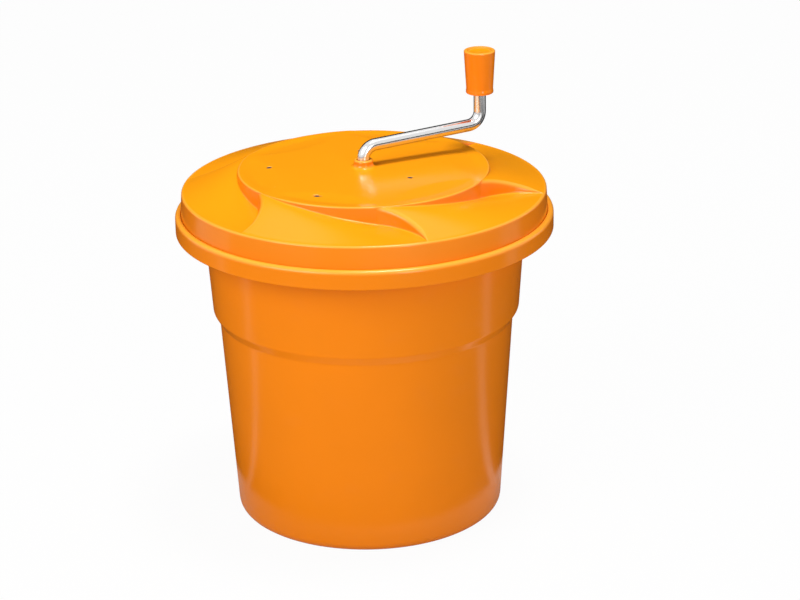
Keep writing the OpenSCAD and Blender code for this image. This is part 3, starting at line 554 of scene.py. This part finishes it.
def band_line(lid, edge_z):
    """Section of the band as (r, z): over its upper edge, down the outside and up the inside."""
    r, out = lid.edge_round, lid.edge_r - lid.draft
    arc = np.radians(np.linspace(84, 3, 8))
    head = np.stack([out - r + r * np.cos(arc), edge_z - r + r * np.sin(arc)], -1)
    side = [(out + 0.00008, edge_z - r - 0.001)]
    foot = braced(rounded([
        (lid.edge_r - 0.0001, lid.low_z + 0.002, 0), (lid.edge_r, lid.low_z, BAND_ROUND),
        (lid.edge_r - lid.skin, lid.low_z, BAND_ROUND),
        (out - lid.skin - 0.0002, edge_z - lid.skin - 0.0003, 0.002),
        (out - r - RAMPS_SHORT, edge_z - lid.skin - 0.0001, 0),
    ], 4))
    return np.concatenate([head, side, foot])


def lid_skin(lid):
    """Closed skin of the lid: collar, raised middle, walls, ramps, band, and the same again
    underneath."""
    outer, turn, head_r, top_z, edge_z = lid_surface(lid, 0)
    inner, under_turn, under_r, under_z, _ = lid_surface(lid, lid.skin)
    high_z = top_z + lid.crown
    collar = rows_at(collar_line(lid, under_z, high_z), turn)
    share = np.linspace(0, 1, 61)[1:-1, None]
    middle = middle_height(lid, FLAT_R + (head_r - FLAT_R) * share, turn, high_z)
    band = rows_at(band_line(lid, edge_z), np.arctan2(outer[-1, :, 1], outer[-1, :, 0]))
    shares = (0.97, 0.75, 0.5, 0.25, 0)
    under = [(UNDER_R + (under_r - UNDER_R) * share, under_z) for share in shares]
    rows = [collar, middle, outer, band, inner[::-1], rows_at(under, under_turn)]
    return skin(merged(np.concatenate(rows)), ring=True)


def ring_skin(lid):
    """Closed skin of the locating ring, whose upper end lies inside the ramps."""
    inner = lid_surface(lid, RING_DEEP)[0]
    radius, pick = np.hypot(inner[..., 0], inner[..., 1]), np.arange(inner.shape[1])
    r_out, r_in = lid.ring_r, lid.ring_r - lid.ring_t
    outside, inside = (inner[np.abs(radius - r).argmin(0), pick] for r in (r_out, r_in))
    c, low = 0.0006, lid.ring_z
    line = [(r_in, inside[:, 2]), (r_in, low + c), (r_in + c, low), (r_out - c, low),
            (r_out, low + c), (r_out, outside[:, 2])]
    return skin(rows_at(line, np.arctan2(outside[:, 1], outside[:, 0])), ring=True)


def hole_places(lid):
    """Centres of the four holes over the case screws."""
    x, y = lid.case_x * math.cos(lid.case_turn), lid.case_x * math.sin(lid.case_turn)
    t = lid.hole_turn + np.arange(4) * math.pi / 2
    return np.stack([x + lid.hole_circle * np.cos(t), y + lid.hole_circle * np.sin(t)], -1)


def plug_skins(lid, under_z):
    """Closed skins of the four black rubber plugs, each of them a little under the surface round
    its
    own hole: top = height of the raised middle there - plug_deep. Their black is painted shade,
    which stands in for the shade inside the holes."""
    low_z, high_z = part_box("hole_plugs")[0].z, under_z + lid.skin + lid.crown
    r, soft = lid.hole_r - 0.00002, 0.0003
    out = []
    for x, y in hole_places(lid):
        top = middle_height(lid, math.hypot(x, y), np.arctan2(y, x), high_z)[2] - lid.plug_deep
        line = np.array([(0, low_z), (r, low_z), (r, top - soft), (r - soft, top), (0, top)])
        out.append(skin(turned(line, HOLE_COLUMNS, (x, y))))
    return out


def cut(made, cutter):
    """Takes the cutter away from a piece and keeps the result as plain mesh."""
    change = made.modifiers.new("holes", "BOOLEAN")
    change.operation, change.solver, change.object = "DIFFERENCE", "EXACT", cutter
    done = made.evaluated_get(bpy.context.evaluated_depsgraph_get())
    mesh = bpy.data.meshes.new_from_object(done)
    made.modifiers.clear()
    old, made.data = made.data, mesh
    mesh.name = made.name
    bpy.data.meshes.remove(old)
    spare = cutter.data
    bpy.data.objects.remove(cutter)
    bpy.data.meshes.remove(spare)
    if len(mesh.polygons) < FEWEST_FACES:
        raise RuntimeError(f"cutting the holes left too little of {made.name}")


class SPINNER_OT_lid(bpy.types.Operator):
    """Makes the lid: collar, raised middle, swirled ramps, band, locating ring and posts"""

    bl_idname = "spinner.lid"
    bl_label = "Lid"

    def execute(self, context):
        lid, finish = context.scene.spinner_lid, context.scene.spinner_finish
        made = piece("lid_shell", [lid_skin(lid)], 50)
        under_z = lid.low_z + lid.band_h + lid.top_rise - OVERLAP - lid.crown - lid.skin
        low, high = under_z - DRILL_DOWN, under_z + DRILL_UP
        drill = np.array([(0, low), (lid.hole_r, low), (lid.hole_r, high), (0, high)])
        places = hole_places(lid)
        cut(made, piece("lid_drill", [skin(turned(drill, HOLE_COLUMNS, at)) for at in places]))
        top = under_z + POST_IN
        post = rounded([
            (POST_BORE, POST_Z, 0), (POST_R, POST_Z, 0.0004), (POST_R, top, 0), (POST_BORE, top, 0),
        ], 3)
        posts = [skin(turned(post, HOLE_COLUMNS, at), ring=True) for at in places]
        extra = piece("lid_ring_and_posts", [ring_skin(lid)] + posts)
        orange = orange_plastic("lid_orange", finish)
        for part in (made, extra):
            coat(part, orange)
            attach(part, "lid")
        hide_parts("lid")
        # Black plugs just under the surface of the four holes: painted shade that stands in for the
        # shade inside them.
        plugs = piece("rubber_plugs", plug_skins(lid, under_z))
        plugs.data.materials.append(seal_rubber(finish))
        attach(plugs, "lid")
        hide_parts("hole_plugs")
        return {"FINISHED"}


# ---- the crank ----

SHOULDER_UP = 0.005  # height of the bar's shoulder over the knob's lower end
SPINDLE_UP = 0.02  # length of the spindle over its shoulder
SEAT_DEEP, SEAT_W = 0.003, 0.0015  # of the cap's seat in the knob
NECK_GAP, SHOULDER_GAP, BORE_GAP, CAP_GAP = 0.0005, 0.0003, 0.00006, 0.00002  # clearances


def bar_course(c):
    """Middle line of the bar in the plane of the arm, as rows (out, up, direction, radius):
    straight up, a bend, the sloping arm, a bend and straight up into the knob. The radius is 0
    along the square end."""
    t = np.linspace(0, math.pi / 2 - c.slope, 17)
    span = c.reach - 2 * c.bend_r + 2 * c.bend_r * math.sin(c.slope)
    rise = span * math.tan(c.slope)
    second_z = c.bend_z + 2 * c.bend_r * math.cos(c.slope) + rise
    shoulder, soft = KNOB_LOW.z + SHOULDER_UP, 0.0006
    end, full, thin = shoulder + SPINDLE_UP, c.bar_r, c.spindle_r
    low = [(0, c.square_z, 0, 0), (0, c.round_z - 0.0001, 0, 0)]
    foot = [(0, z, 0, full) for z in (c.round_z, c.round_z + 0.001, c.bend_z - 0.001)]
    across, up = c.bend_r * (1 - np.cos(t)), c.bend_r * np.sin(t)
    bend = np.stack([across, c.bend_z + up, t, full + 0 * t], -1)
    back = np.stack([c.reach - across, second_z - up, t, full + 0 * t], -1)[::-1]
    share = np.linspace(0, 1, 14)[1:-1, None]
    arm = bend[-1] + (back[0] - bend[-1]) * share
    top = [(c.reach, second_z + 0.001, 0, full), (c.reach, shoulder - soft, 0, full),
           (c.reach, shoulder, 0, full - soft), (c.reach, shoulder, 0, thin),
           (c.reach, end, 0, thin), (c.reach, end, 0, 0.0015)]
    return np.concatenate([low, foot, bend, arm, back, top])


def bar_grid(c):
    """Tube along the bar: at each point of the course, middle + radius * (cos a * n + sin a * s),
    where n lies in the arm's plane and s across it. The lower end is square: its radius is
    half the width / max(|cos a|, |sin a|). Also each point's place in a straightened bar."""
    out, up, tilt, size = bar_course(c).T[:, :, None]
    a = np.arange(BAR_COLUMNS) * 2 * math.pi / BAR_COLUMNS
    square = c.square / 2 / np.maximum(np.abs(np.cos(a)), np.abs(np.sin(a)))
    radius = np.where(size > 0, size, square)
    n, y = radius * np.cos(a), radius * np.sin(a)
    x, z = out + n * np.cos(tilt), up - n * np.sin(tilt)
    steps = np.hypot(np.diff(out, axis=0), np.diff(up, axis=0))
    run = np.concatenate([[[0]], np.cumsum(steps, axis=0)])
    cos, sin = math.cos(c.turn), math.sin(c.turn)
    grid = np.stack([x * cos - y * sin, x * sin + y * cos, z], -1)
    return grid, np.stack([n, y, run + 0 * a], -1)


class SPINNER_OT_crank(bpy.types.Operator):
    """Makes the crank's bent bar of drawn stainless"""

    bl_idname = "spinner.crank"
    bl_label = "Crank bar"

    def execute(self, context):
        sizes, finish = context.scene.spinner_crank, context.scene.spinner_finish
        grid, place = bar_grid(sizes)
        made = piece("crank_bar", [skin(grid)], 40)
        along = made.data.attributes.new("bar_place", "FLOAT_VECTOR", "POINT")
        ends = np.stack([place[0].mean(0), place[-1].mean(0)])
        along.data.foreach_set("vector", np.concatenate([place.reshape(-1, 3), ends]).ravel())
        made.data.materials.append(drawn_steel("bar_steel", finish.steel))
        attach(made, "crank")
        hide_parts("crank_rod")
        return {"FINISHED"}


def knob_line(c, cap_z, seat_z):
    """Section of the knob as (r, z): up the outside, down into the cap's seat and down the bore
    of the spindle and the bar."""
    low, high = KNOB_LOW.z, KNOB_HIGH.z
    shoulder = low + SHOULDER_UP + SHOULDER_GAP
    end, bore, neck = shoulder + SPINDLE_UP, c.spindle_r + BORE_GAP, c.bar_r + NECK_GAP
    lip, seat_r = c.knob_low_r + c.knob_lip, c.cap_r - SEAT_W
    return braced(rounded([
        (neck, low, 0.0004), (lip, low, 0.0011), (lip, low + 0.0026, 0.0012),
        (c.knob_low_r, low + 0.0042, 0.003), (c.knob_top_r, high, 0.0012),
        (c.cap_r + 0.0006, high, 0.0005), (c.cap_r, cap_z, 0.0003), (c.cap_r, seat_z, 0),
        (seat_r, seat_z, 0), (seat_r, end, 0), (bore, end, 0), (bore, shoulder, 0),
        (neck, shoulder, 0), (neck, low + 0.0004, 0),
    ], 5), 0.0003)


def cap_line(c, cap_z, seat_z):
    """Section of the cap as (r, z): its side, a small rounding, and a dish that falls by
    dish * (1 - s^2) at the share s of its radius."""
    rim, soft, s = c.cap_r - CAP_GAP, 0.0006, np.linspace(1, 0, 9)
    side = [(0, seat_z), (rim, seat_z), (rim, cap_z - 0.0003), (rim - 0.0002, cap_z - 0.00005)]
    return np.concatenate([side, np.stack([(rim - soft) * s, cap_z - c.dish * (1 - s**2)], -1)])


class SPINNER_OT_knob(bpy.types.Operator):
    """Makes the turning knob and its dished cap"""

    bl_idname = "spinner.knob"
    bl_label = "Knob"

    def execute(self, context):
        c, finish = context.scene.spinner_crank, context.scene.spinner_finish
        around = KNOB_COLUMNS, (c.reach * math.cos(c.turn), c.reach * math.sin(c.turn))
        cap_z = KNOB_HIGH.z - c.cap_sink
        heights = cap_z, cap_z - SEAT_DEEP
        grip = piece("knob_grip", [skin(turned(knob_line(c, *heights), *around), ring=True)])
        coat(grip, orange_plastic("knob_orange", finish))
        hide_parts("knob")
        top = piece("knob_top", [skin(turned(cap_line(c, *heights), *around))])
        coat(top, orange_plastic("knob_cap_orange", finish))
        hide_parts("knob_cap")
        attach(grip, "knob")
        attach(top, "knob")
        return {"FINISHED"}


# ---- finishes ----

PLASTIC_BUMP, METAL_BUMP = 0.00001, 0.000004  # depth of the grain and of the lines in metres
METAL_STAIN, ORANGE_SPECULAR = 0.1, 0.32


def add(tree, kind, x, y, feeds=None, **values):
    """A node at a place. feeds gives the source of an input by the input's name or number, in_N
    is the value of input number N, and any other value is a property of the node."""
    made = tree.nodes.new(kind)
    made.location = (x, y)
    for key, value in values.items():
        if key.startswith("in_"):
            made.inputs[int(key[3:])].default_value = value
        else:
            setattr(made, key, value)
    for key, source in (feeds or {}).items():
        tree.links.new(source, made.inputs[key])
    return made


def noise(tree, x, y, place, scale, detail, roughness):
    """Output of a noise texture."""
    values = {"in_2": scale, "in_3": detail, "in_4": roughness}
    return add(tree, "ShaderNodeTexNoise", x, y, {"Vector": place}, **values).outputs["Fac"]


def spread(tree, x, y, value, low, high, to_low=0.0, to_high=1.0):
    """Output that goes from to_low to to_high while the value goes from low to high."""
    values = {"in_1": low, "in_2": high, "in_3": to_low, "in_4": to_high}
    return add(tree, "ShaderNodeMapRange", x, y, {"Value": value}, **values).outputs["Result"]


def maths(tree, x, y, operation, *terms):
    """Output of a maths node whose terms are numbers or sockets."""
    values = {f"in_{k}": term for k, term in enumerate(terms) if isinstance(term, float)}
    feeds = {k: term for k, term in enumerate(terms) if not isinstance(term, float)}
    return add(tree, "ShaderNodeMath", x, y, feeds, operation=operation, **values).outputs[0]


def stretched(tree, x, place, scale):
    """Output of a mapping node that stretches a place."""
    return add(tree, "ShaderNodeMapping", x, 0, {"Vector": place}, in_3=scale).outputs["Vector"]


def shader_group(name, plain):
    """A new shader group with the inputs Place and Tint and the plain ones, and the outputs
    Colour, Roughness and Height. Returns it with the sockets that it is given."""
    tree = bpy.data.node_groups.new(name, "ShaderNodeTree")
    for key, kind in (("Place", "Vector"), ("Tint", "Color")):
        tree.interface.new_socket(name=key, in_out="INPUT", socket_type="NodeSocket" + kind)
    for key, value in plain.items():
        made = tree.interface.new_socket(name=key, in_out="INPUT", socket_type="NodeSocketFloat")
        made.default_value = value
    for key, kind in (("Colour", "Color"), ("Roughness", "Float"), ("Height", "Float")):
        tree.interface.new_socket(name=key, in_out="OUTPUT", socket_type="NodeSocket" + kind)
    return tree, add(tree, "NodeGroupInput", -900, 0).outputs


def group_output(tree, tint, share, roughness, height):
    """Feeds the outputs of a shader group, where the colour is tint * share."""
    colour = add(tree, "ShaderNodeVectorMath", 0, 300, {0: tint, "Scale": share}, operation="SCALE")
    feeds = {"Colour": colour.outputs[0], "Roughness": roughness, "Height": height}
    add(tree, "NodeGroupOutput", 700, 0, feeds)
    return tree


def moulding_group():
    """Moulded plastic: slow mottling of the colour, fine grain of the surface and faint rub
    marks. Colour = tint * (1 + mottle * slow noise); roughness = gloss + rub where a stretched
    noise is high; height = grain * fine noise."""
    name = "moulded plastic"
    if name in bpy.data.node_groups:
        return bpy.data.node_groups[name]
    tree, given = shader_group(name, {"Mottle": 0.05, "Gloss": 0.3, "Rub": 0.1, "Grain": 1.0})
    slow = noise(tree, -600, 300, given["Place"], 11.0, 3.0, 0.55)
    slow = spread(tree, -400, 300, slow, 0.3, 0.7, -1.0)
    share = maths(tree, -200, 300, "MULTIPLY_ADD", slow, given["Mottle"], 1.0)
    place = stretched(tree, -700, given["Place"], (35, 35, 60))
    marks = noise(tree, -500, 0, place, 1.0, 4.0, 0.6)
    marks = spread(tree, -300, 0, marks, 0.55, 0.75)
    rough = maths(tree, -100, 0, "MULTIPLY_ADD", marks, given["Rub"], given["Gloss"])
    fine = noise(tree, -500, -300, given["Place"], 420.0, 2.0, 0.5)
    height = maths(tree, -200, -300, "MULTIPLY", fine, given["Grain"])
    return group_output(tree, given["Tint"], share, rough, height)


def worked_group():
    """Worked metal: fine lines along one direction. Place is stretched by the material, so that
    the lines lie as they do on the real piece. Roughness = gloss + lines * noise; colour = tint *
    (1 - stain * slow noise)."""
    name = "worked metal"
    if name in bpy.data.node_groups:
        return bpy.data.node_groups[name]
    tree, given = shader_group(name, {"Gloss": 0.2, "Lines": 0.15, "Stain": 0.1})
    lines = noise(tree, -600, 0, given["Place"], 1.0, 3.0, 0.7)
    rough = maths(tree, -200, 0, "MULTIPLY_ADD", lines, given["Lines"], given["Gloss"])
    slow = noise(tree, -600, 300, given["Place"], 0.08, 2.0, 0.5)
    less = maths(tree, -400, 300, "MULTIPLY", slow, given["Stain"])
    share = maths(tree, -200, 300, "SUBTRACT", 1.0, less)
    return group_output(tree, given["Tint"], share, rough, lines)


def material(name, **constants):
    """A new material with a Principled shader whose plain values are set on its own sockets."""
    made = bpy.data.materials.new(name)
    made.use_nodes = True
    shader = made.node_tree.nodes["Principled BSDF"]
    for key, value in constants.items():
        shader.inputs[key.replace("_", " ")].default_value = value
    return made, made.node_tree, shader


def lay_group(tree, shader, group, place, bump, **values):
    """Lays a shader group over a shader: its colour, its roughness and a bump of its height."""
    held = add(tree, "ShaderNodeGroup", -500, 0, node_tree=group)
    for key, value in values.items():
        held.inputs[key].default_value = value
    relief = add(tree, "ShaderNodeBump", -250, -300, {"Height": held.outputs["Height"]})
    relief.inputs["Distance"].default_value = bump
    link = tree.links.new
    link(place, held.inputs["Place"])
    link(held.outputs["Colour"], shader.inputs["Base Color"])
    link(held.outputs["Roughness"], shader.inputs["Roughness"])
    link(relief.outputs["Normal"], shader.inputs["Normal"])
    return held


def plastic(name, tint, specular, gloss, mottle, rub, grain=1.0):
    """Moulded plastic of one colour, with the node that holds its shader group."""
    made, tree, shader = material(name, Specular_IOR_Level=specular)
    place = add(tree, "ShaderNodeTexCoord", -900, 0).outputs["Object"]
    held = lay_group(
        tree, shader, moulding_group(), place, PLASTIC_BUMP,
        Tint=(*tint, 1), Mottle=mottle, Gloss=gloss, Rub=rub, Grain=grain,
    )
    return made, held


def orange_plastic(name, finish):
    """Glossy orange polypropylene, with painted light. Faces that look up are painted paler, as
    painted light from above: the tint goes over to the paler one where "upward" rises from 0.35
    to 0.85. The rounded edges on top get a painted highlight in the palest tint, by the share
    0.27 * (edge from 60 to 250 per metre) * (upward from 0.1 to 0.5)."""
    made, held = plastic(name, finish.side, ORANGE_SPECULAR, gloss=0.21, mottle=0.02, rub=0.06)
    tree = made.node_tree
    upward, edge = (
        add(tree, "ShaderNodeAttribute", -1500, y, attribute_name=key).outputs["Fac"]
        for key, y in (("upward", 300), ("edge", 0))
    )
    # Painted light: share of the paler tint, which rises on faces that look up.
    share = spread(tree, -1250, 400, upward, 0.35, 0.85)
    # Painted highlight: share of the palest tint on the rounded edges on top.
    on_top = spread(tree, -1250, 200, upward, 0.1, 0.5, 0.0, 0.27)
    bent = spread(tree, -1250, 0, edge, 60.0, 250.0)
    edge_highlight = maths(tree, -1050, 100, "MULTIPLY", on_top, bent)
    tones = [(*tone, 1) for tone in (finish.side, finish.upper, finish.edge_highlight)]
    kind, look = "ShaderNodeMix", {"data_type": "RGBA"}
    mix = add(tree, kind, -950, 400, {0: share}, **look, in_6=tones[0], in_7=tones[1])
    mix = add(tree, kind, -750, 300, {0: edge_highlight, 6: mix.outputs[2]}, **look, in_7=tones[2])
    tree.links.new(mix.outputs[2], held.inputs["Tint"])
    return made


def metal(name, tint, gloss, lines, stretch, attribute=None):
    """Worked metal whose lines run as the stretch says, in Object coordinates or in those of an
    attribute."""
    made, tree, shader = material(name, Metallic=1.0)
    if attribute:
        held = add(tree, "ShaderNodeAttribute", -1100, 0, attribute_name=attribute)
    else:
        held = add(tree, "ShaderNodeTexCoord", -1100, 0)
    place = stretched(tree, -900, held.outputs["Vector" if attribute else "Object"], stretch)
    values = {"Tint": (*tint, 1), "Gloss": gloss, "Lines": lines, "Stain": METAL_STAIN}
    lay_group(tree, shader, worked_group(), place, METAL_BUMP, **values)
    return made


def seal_rubber(finish):
    """Black rubber of the seal and the plugs, made once. On the plugs it is painted shade, which
    stands in for the shade inside the lid's holes.
    """
    name = "seal_rubber"
    if name not in bpy.data.materials:
        plastic(name, finish.rubber, 0.05, gloss=0.7, mottle=0.1, rub=0.1, grain=3.0)
    return bpy.data.materials[name]


def drawn_steel(name, tint):
    """Stainless bar with fine lines along it, as drawing leaves them."""
    return metal(name, tint, 0.11, 0.12, (2200, 2200, 25), "bar_place")


def dress(finish, *nodes):
    """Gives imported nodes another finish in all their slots."""
    for node in nodes:
        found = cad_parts[node]
        if not found.material_slots:
            found.data.materials.append(finish)
        for held in found.material_slots:
            held.link = "OBJECT"
            held.material = finish


class SPINNER_OT_basket(bpy.types.Operator):
    """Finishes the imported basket, its hub cap, the drive bar and the gear case"""

    bl_idname = "spinner.basket"
    bl_label = "Basket and gear case"

    def execute(self, context):
        finish = context.scene.spinner_finish
        white, _ = plastic("basket_white", finish.basket, 0.4, gloss=0.33, mottle=0.02, rub=0.12)
        case, _ = plastic(
            "case_white", finish.basket, 0.4, gloss=0.42, mottle=0.02, rub=0.1, grain=1.6
        )
        bar, _ = plastic(
            "drive_bar_orange", finish.side, ORANGE_SPECULAR, gloss=0.25, mottle=0.03, rub=0.08
        )
        dress(white, "basket", "hub_cap")
        dress(case, "gear_case")
        dress(bar, "drive_bar")
        return {"FINISHED"}


class SPINNER_OT_hardware(bpy.types.Operator):
    """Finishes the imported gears, bushes, shafts, pins, screws, washers, clips and seal"""

    bl_idname = "spinner.hardware"
    bl_label = "Gears and hardware"

    def execute(self, context):
        finish = context.scene.spinner_finish
        acetal, _ = plastic("gear_acetal", finish.acetal, 0.45, gloss=0.38, mottle=0.03, rub=0.14)
        turned_steel = metal("turned_steel", finish.hardware, 0.18, 0.14, (90, 90, 5000))
        flat_steel = metal("stamped_steel", finish.hardware, 0.22, 0.1, (700, 700, 700))
        dress(acetal, "idler_gear", "driver_pinion", "crank_gear")
        dress(acetal, "pivot_bush", "crank_bush", "driver_bush")
        dress(seal_rubber(finish), "case_seal")
        dress(turned_steel, "pivot_pin", "idler_pin", "driver_shaft")
        dress(flat_steel, "bar_screws", "case_screws", "crank_screw", "knob_screw")
        dress(flat_steel, "bush_clip", "driver_clip")
        dress(flat_steel, "thrust_washer", "crank_washer", "knob_washer")
        return {"FINISHED"}


# ---- the stage ----

WHITE = (1, 1, 1, 1)
FLOOR_HALF = 9.0  # half the floor's width
FLOOR_GLOW = 0.96  # share of plain white in the floor that the camera sees
CAMERA_PLACE = (0, -2.30603, 1.06199)
CAMERA_BACK = (-0.012274, -0.935566, 0.352939)  # against the way that it looks
CAMERA_ROLL = math.radians(0.91)
LAMP_AIM = (0, 0, 0.2)
LAMPS = {  # width and height of each lamp, and its place
    "key": ((1.6, 1.6), (-1.6, -1.7, 1.7)),
    "side": ((0.5, 1.3), (1.1, -2.3, 0.85)),
    "top": ((1.06, 1.06), (0.53, -0.21, 4.52)),
}
CARDS = (
    ((-5, 4, 0.02), (5, 4, 0.02), (5, 4, 4.6), (-5, 4, 4.6)),
    ((1.9, -3.9, 0.3), (4.4, -1.2, 0.3), (4.4, -1.2, 1.35), (1.9, -3.9, 1.35)),
)
SECTOR_R, SECTOR_Z = 0.16, 0.001  # inner radius and height of the card on the floor
SECTORS = (  # from and to in degrees, and the outer radius
    (-176, -118, 1.4), (-118, -92, 1.6), (-92, -4, 1.3), (4, 14, 1), (14, 150, 3.9), (150, 179, 1),
)


def aim(made, place, z, roll=0.0):
    """Moves an object to a place and turns its own z axis along z, with its x axis level but
    for a roll about z."""
    z = np.array(z) / np.linalg.norm(z)
    x = np.cross((0, 0, 1), z)
    x /= np.linalg.norm(x)
    y = np.cross(z, x)
    cos, sin = math.cos(roll), math.sin(roll)
    axes = Matrix(np.stack([x * cos - y * sin, x * sin + y * cos, z], 1).tolist())
    made.matrix_world = Matrix.Translation(place) @ axes.to_4x4()


def lamp(name, power, size, place):
    """An area lamp at a place, turned towards LAMP_AIM."""
    light = bpy.data.lights.new(name, "AREA")
    light.energy, light.shape, light.size, light.size_y = power, "RECTANGLE", *size
    aim(new_object(name, light), place, np.array(place) - np.array(LAMP_AIM))


def place_camera(stage):
    """The camera of the photograph: 2.48 m from a point beside the bucket's axis, 21.58 degrees
    above the horizon, turned by 0.91 degrees about its own axis."""
    data = bpy.data.cameras.new("camera")
    data.sensor_width, data.lens = 36, stage.lens
    data.clip_start, data.clip_end = 0.05, 50
    made = new_object("camera", data)
    aim(made, CAMERA_PLACE, CAMERA_BACK, CAMERA_ROLL)
    bpy.context.scene.camera = made


def dark_cards():
    """Dark cards that only gloss sees, as a studio has them: one behind the object, one in front
    to its right, and one round the object on the floor, with a gap on each side that leaves
    a pale upright band on the bucket."""
    quads = list(CARDS)
    for first, last, out in SECTORS:
        turn = np.radians(np.linspace(first, last, 12))
        for a, b in zip(turn, turn[1:]):
            corners = (SECTOR_R, a), (out, a), (out, b), (SECTOR_R, b)
            quads.append([(r * math.cos(t), r * math.sin(t), SECTOR_Z) for r, t in corners])
    mesh = bpy.data.meshes.new("dark_cards")
    faces = np.arange(4 * len(quads)).reshape(-1, 4).tolist()
    mesh.from_pydata([corner for quad in quads for corner in quad], [], faces)
    cards = new_object("dark_cards", mesh)
    black = (0.015, 0.015, 0.015, 1)
    finish = material("card_black", Base_Color=black, Roughness=1.0, Specular_IOR_Level=0.0)[0]
    mesh.materials.append(finish)
    cards.visible_camera = cards.visible_diffuse = cards.visible_shadow = False
    cards.visible_transmission = cards.visible_volume_scatter = False


def mixed(tree, output, share, one, other):
    """Feeds the surface of an output node with a mix that goes from one shader to the other."""
    feeds = {0: share, 1: one.outputs[0], 2: other.outputs[0]}
    mix = add(tree, "ShaderNodeMixShader", 300, 0, feeds)
    tree.links.new(mix.outputs[0], tree.nodes[output].inputs["Surface"])


def floor_finish(stage):
    """Pale matt floor that the camera sees almost white, with the object's shadow kept."""
    made, tree, shader = material(
        "floor_pale", Base_Color=(*stage.floor, 1), Roughness=0.9, Specular_IOR_Level=0.1
    )
    white = add(tree, "ShaderNodeEmission", 0, -400, in_0=WHITE, in_1=1.0)
    seen = add(tree, "ShaderNodeLightPath", -600, 300).outputs
    share = maths(tree, -300, 300, "MULTIPLY", seen["Is Camera Ray"], FLOOR_GLOW)
    mixed(tree, "Material Output", share, shader, white)
    return made


def surroundings(stage):
    """A soft grey sky on the object, which the camera, gloss and glass see as white."""
    world = bpy.data.worlds.new("surroundings")
    bpy.context.scene.world = world
    world.use_nodes = True
    tree = world.node_tree
    soft = tree.nodes["Background"]
    soft.inputs["Color"].default_value = WHITE
    soft.inputs["Strength"].default_value = stage.sky
    white = add(tree, "ShaderNodeBackground", 0, -200, in_0=WHITE, in_1=1.0)
    seen = add(tree, "ShaderNodeLightPath", -800, 300).outputs
    share = maths(tree, -500, 300, "MAXIMUM", seen["Is Camera Ray"], seen["Is Glossy Ray"])
    share = maths(tree, -300, 300, "MAXIMUM", share, seen["Is Transmission Ray"])
    mixed(tree, "World Output", share, soft, white)


class SPINNER_OT_stage(bpy.types.Operator):
    """Makes the camera, the pale floor, the white surroundings and the soft lamps"""

    bl_idname = "spinner.stage"
    bl_label = "Stage"

    def execute(self, context):
        stage = context.scene.spinner_stage
        place_camera(stage)
        mesh = bpy.data.meshes.new("floor")
        s = FLOOR_HALF
        mesh.from_pydata([(-s, -s, 0), (s, -s, 0), (s, s, 0), (-s, s, 0)], [], [(0, 1, 2, 3)])
        mesh.materials.append(floor_finish(stage))
        floor = new_object("floor", mesh)
        surroundings(stage)
        for name, (size, place) in LAMPS.items():
            lamp(name + "_lamp", getattr(stage, name), size, place)
        dark_cards()
        context.scene.view_settings.view_transform = "Standard"
        return {"FINISHED"}


# ---- the add-on ----


class SPINNER_PT_panel(bpy.types.Panel):
    """Sizes, colours and makers of the salad spinner"""

    bl_label = "Salad spinner"
    bl_idname = "SPINNER_PT_panel"
    bl_space_type = "VIEW_3D"
    bl_region_type = "UI"
    bl_category = "Spinner"

    def draw(self, context):
        for title, name in GROUPS:
            box = self.layout.box()
            box.label(text=title)
            group = getattr(context.scene, name)
            for key in group.__annotations__:
                box.prop(group, key)
        for maker in MAKERS:
            self.layout.operator(maker.bl_idname)


GROUPS = (
    ("Bucket", "spinner_bucket"), ("Lid", "spinner_lid"), ("Crank", "spinner_crank"),
    ("Finish", "spinner_finish"), ("Stage", "spinner_stage"),
)
SETTINGS = (SpinnerBucket, SpinnerLid, SpinnerCrank, SpinnerFinish, SpinnerStage)
MAKERS = (
    SPINNER_OT_stage, SPINNER_OT_bucket, SPINNER_OT_lid, SPINNER_OT_crank, SPINNER_OT_knob,
    SPINNER_OT_basket, SPINNER_OT_hardware,
)


def register():
    """Registers the settings, the operators and the panel."""
    for group in (*SETTINGS, *MAKERS, SPINNER_PT_panel):
        bpy.utils.register_class(group)
    for (_, name), group in zip(GROUPS, SETTINGS):
        setattr(bpy.types.Scene, name, PointerProperty(type=group))


def unregister():
    """Takes away what register added."""
    for _, name in GROUPS:
        delattr(bpy.types.Scene, name)
    for group in reversed((*SETTINGS, *MAKERS, SPINNER_PT_panel)):
        bpy.utils.unregister_class(group)


def main():
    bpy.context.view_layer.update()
    register()
    bpy.ops.spinner.stage()
    bpy.ops.spinner.bucket()
    bpy.ops.spinner.lid()
    bpy.ops.spinner.crank()
    bpy.ops.spinner.knob()
    bpy.ops.spinner.basket()
    bpy.ops.spinner.hardware()
    bpy.context.view_layer.update()


if __name__ == "__main__":
    main()
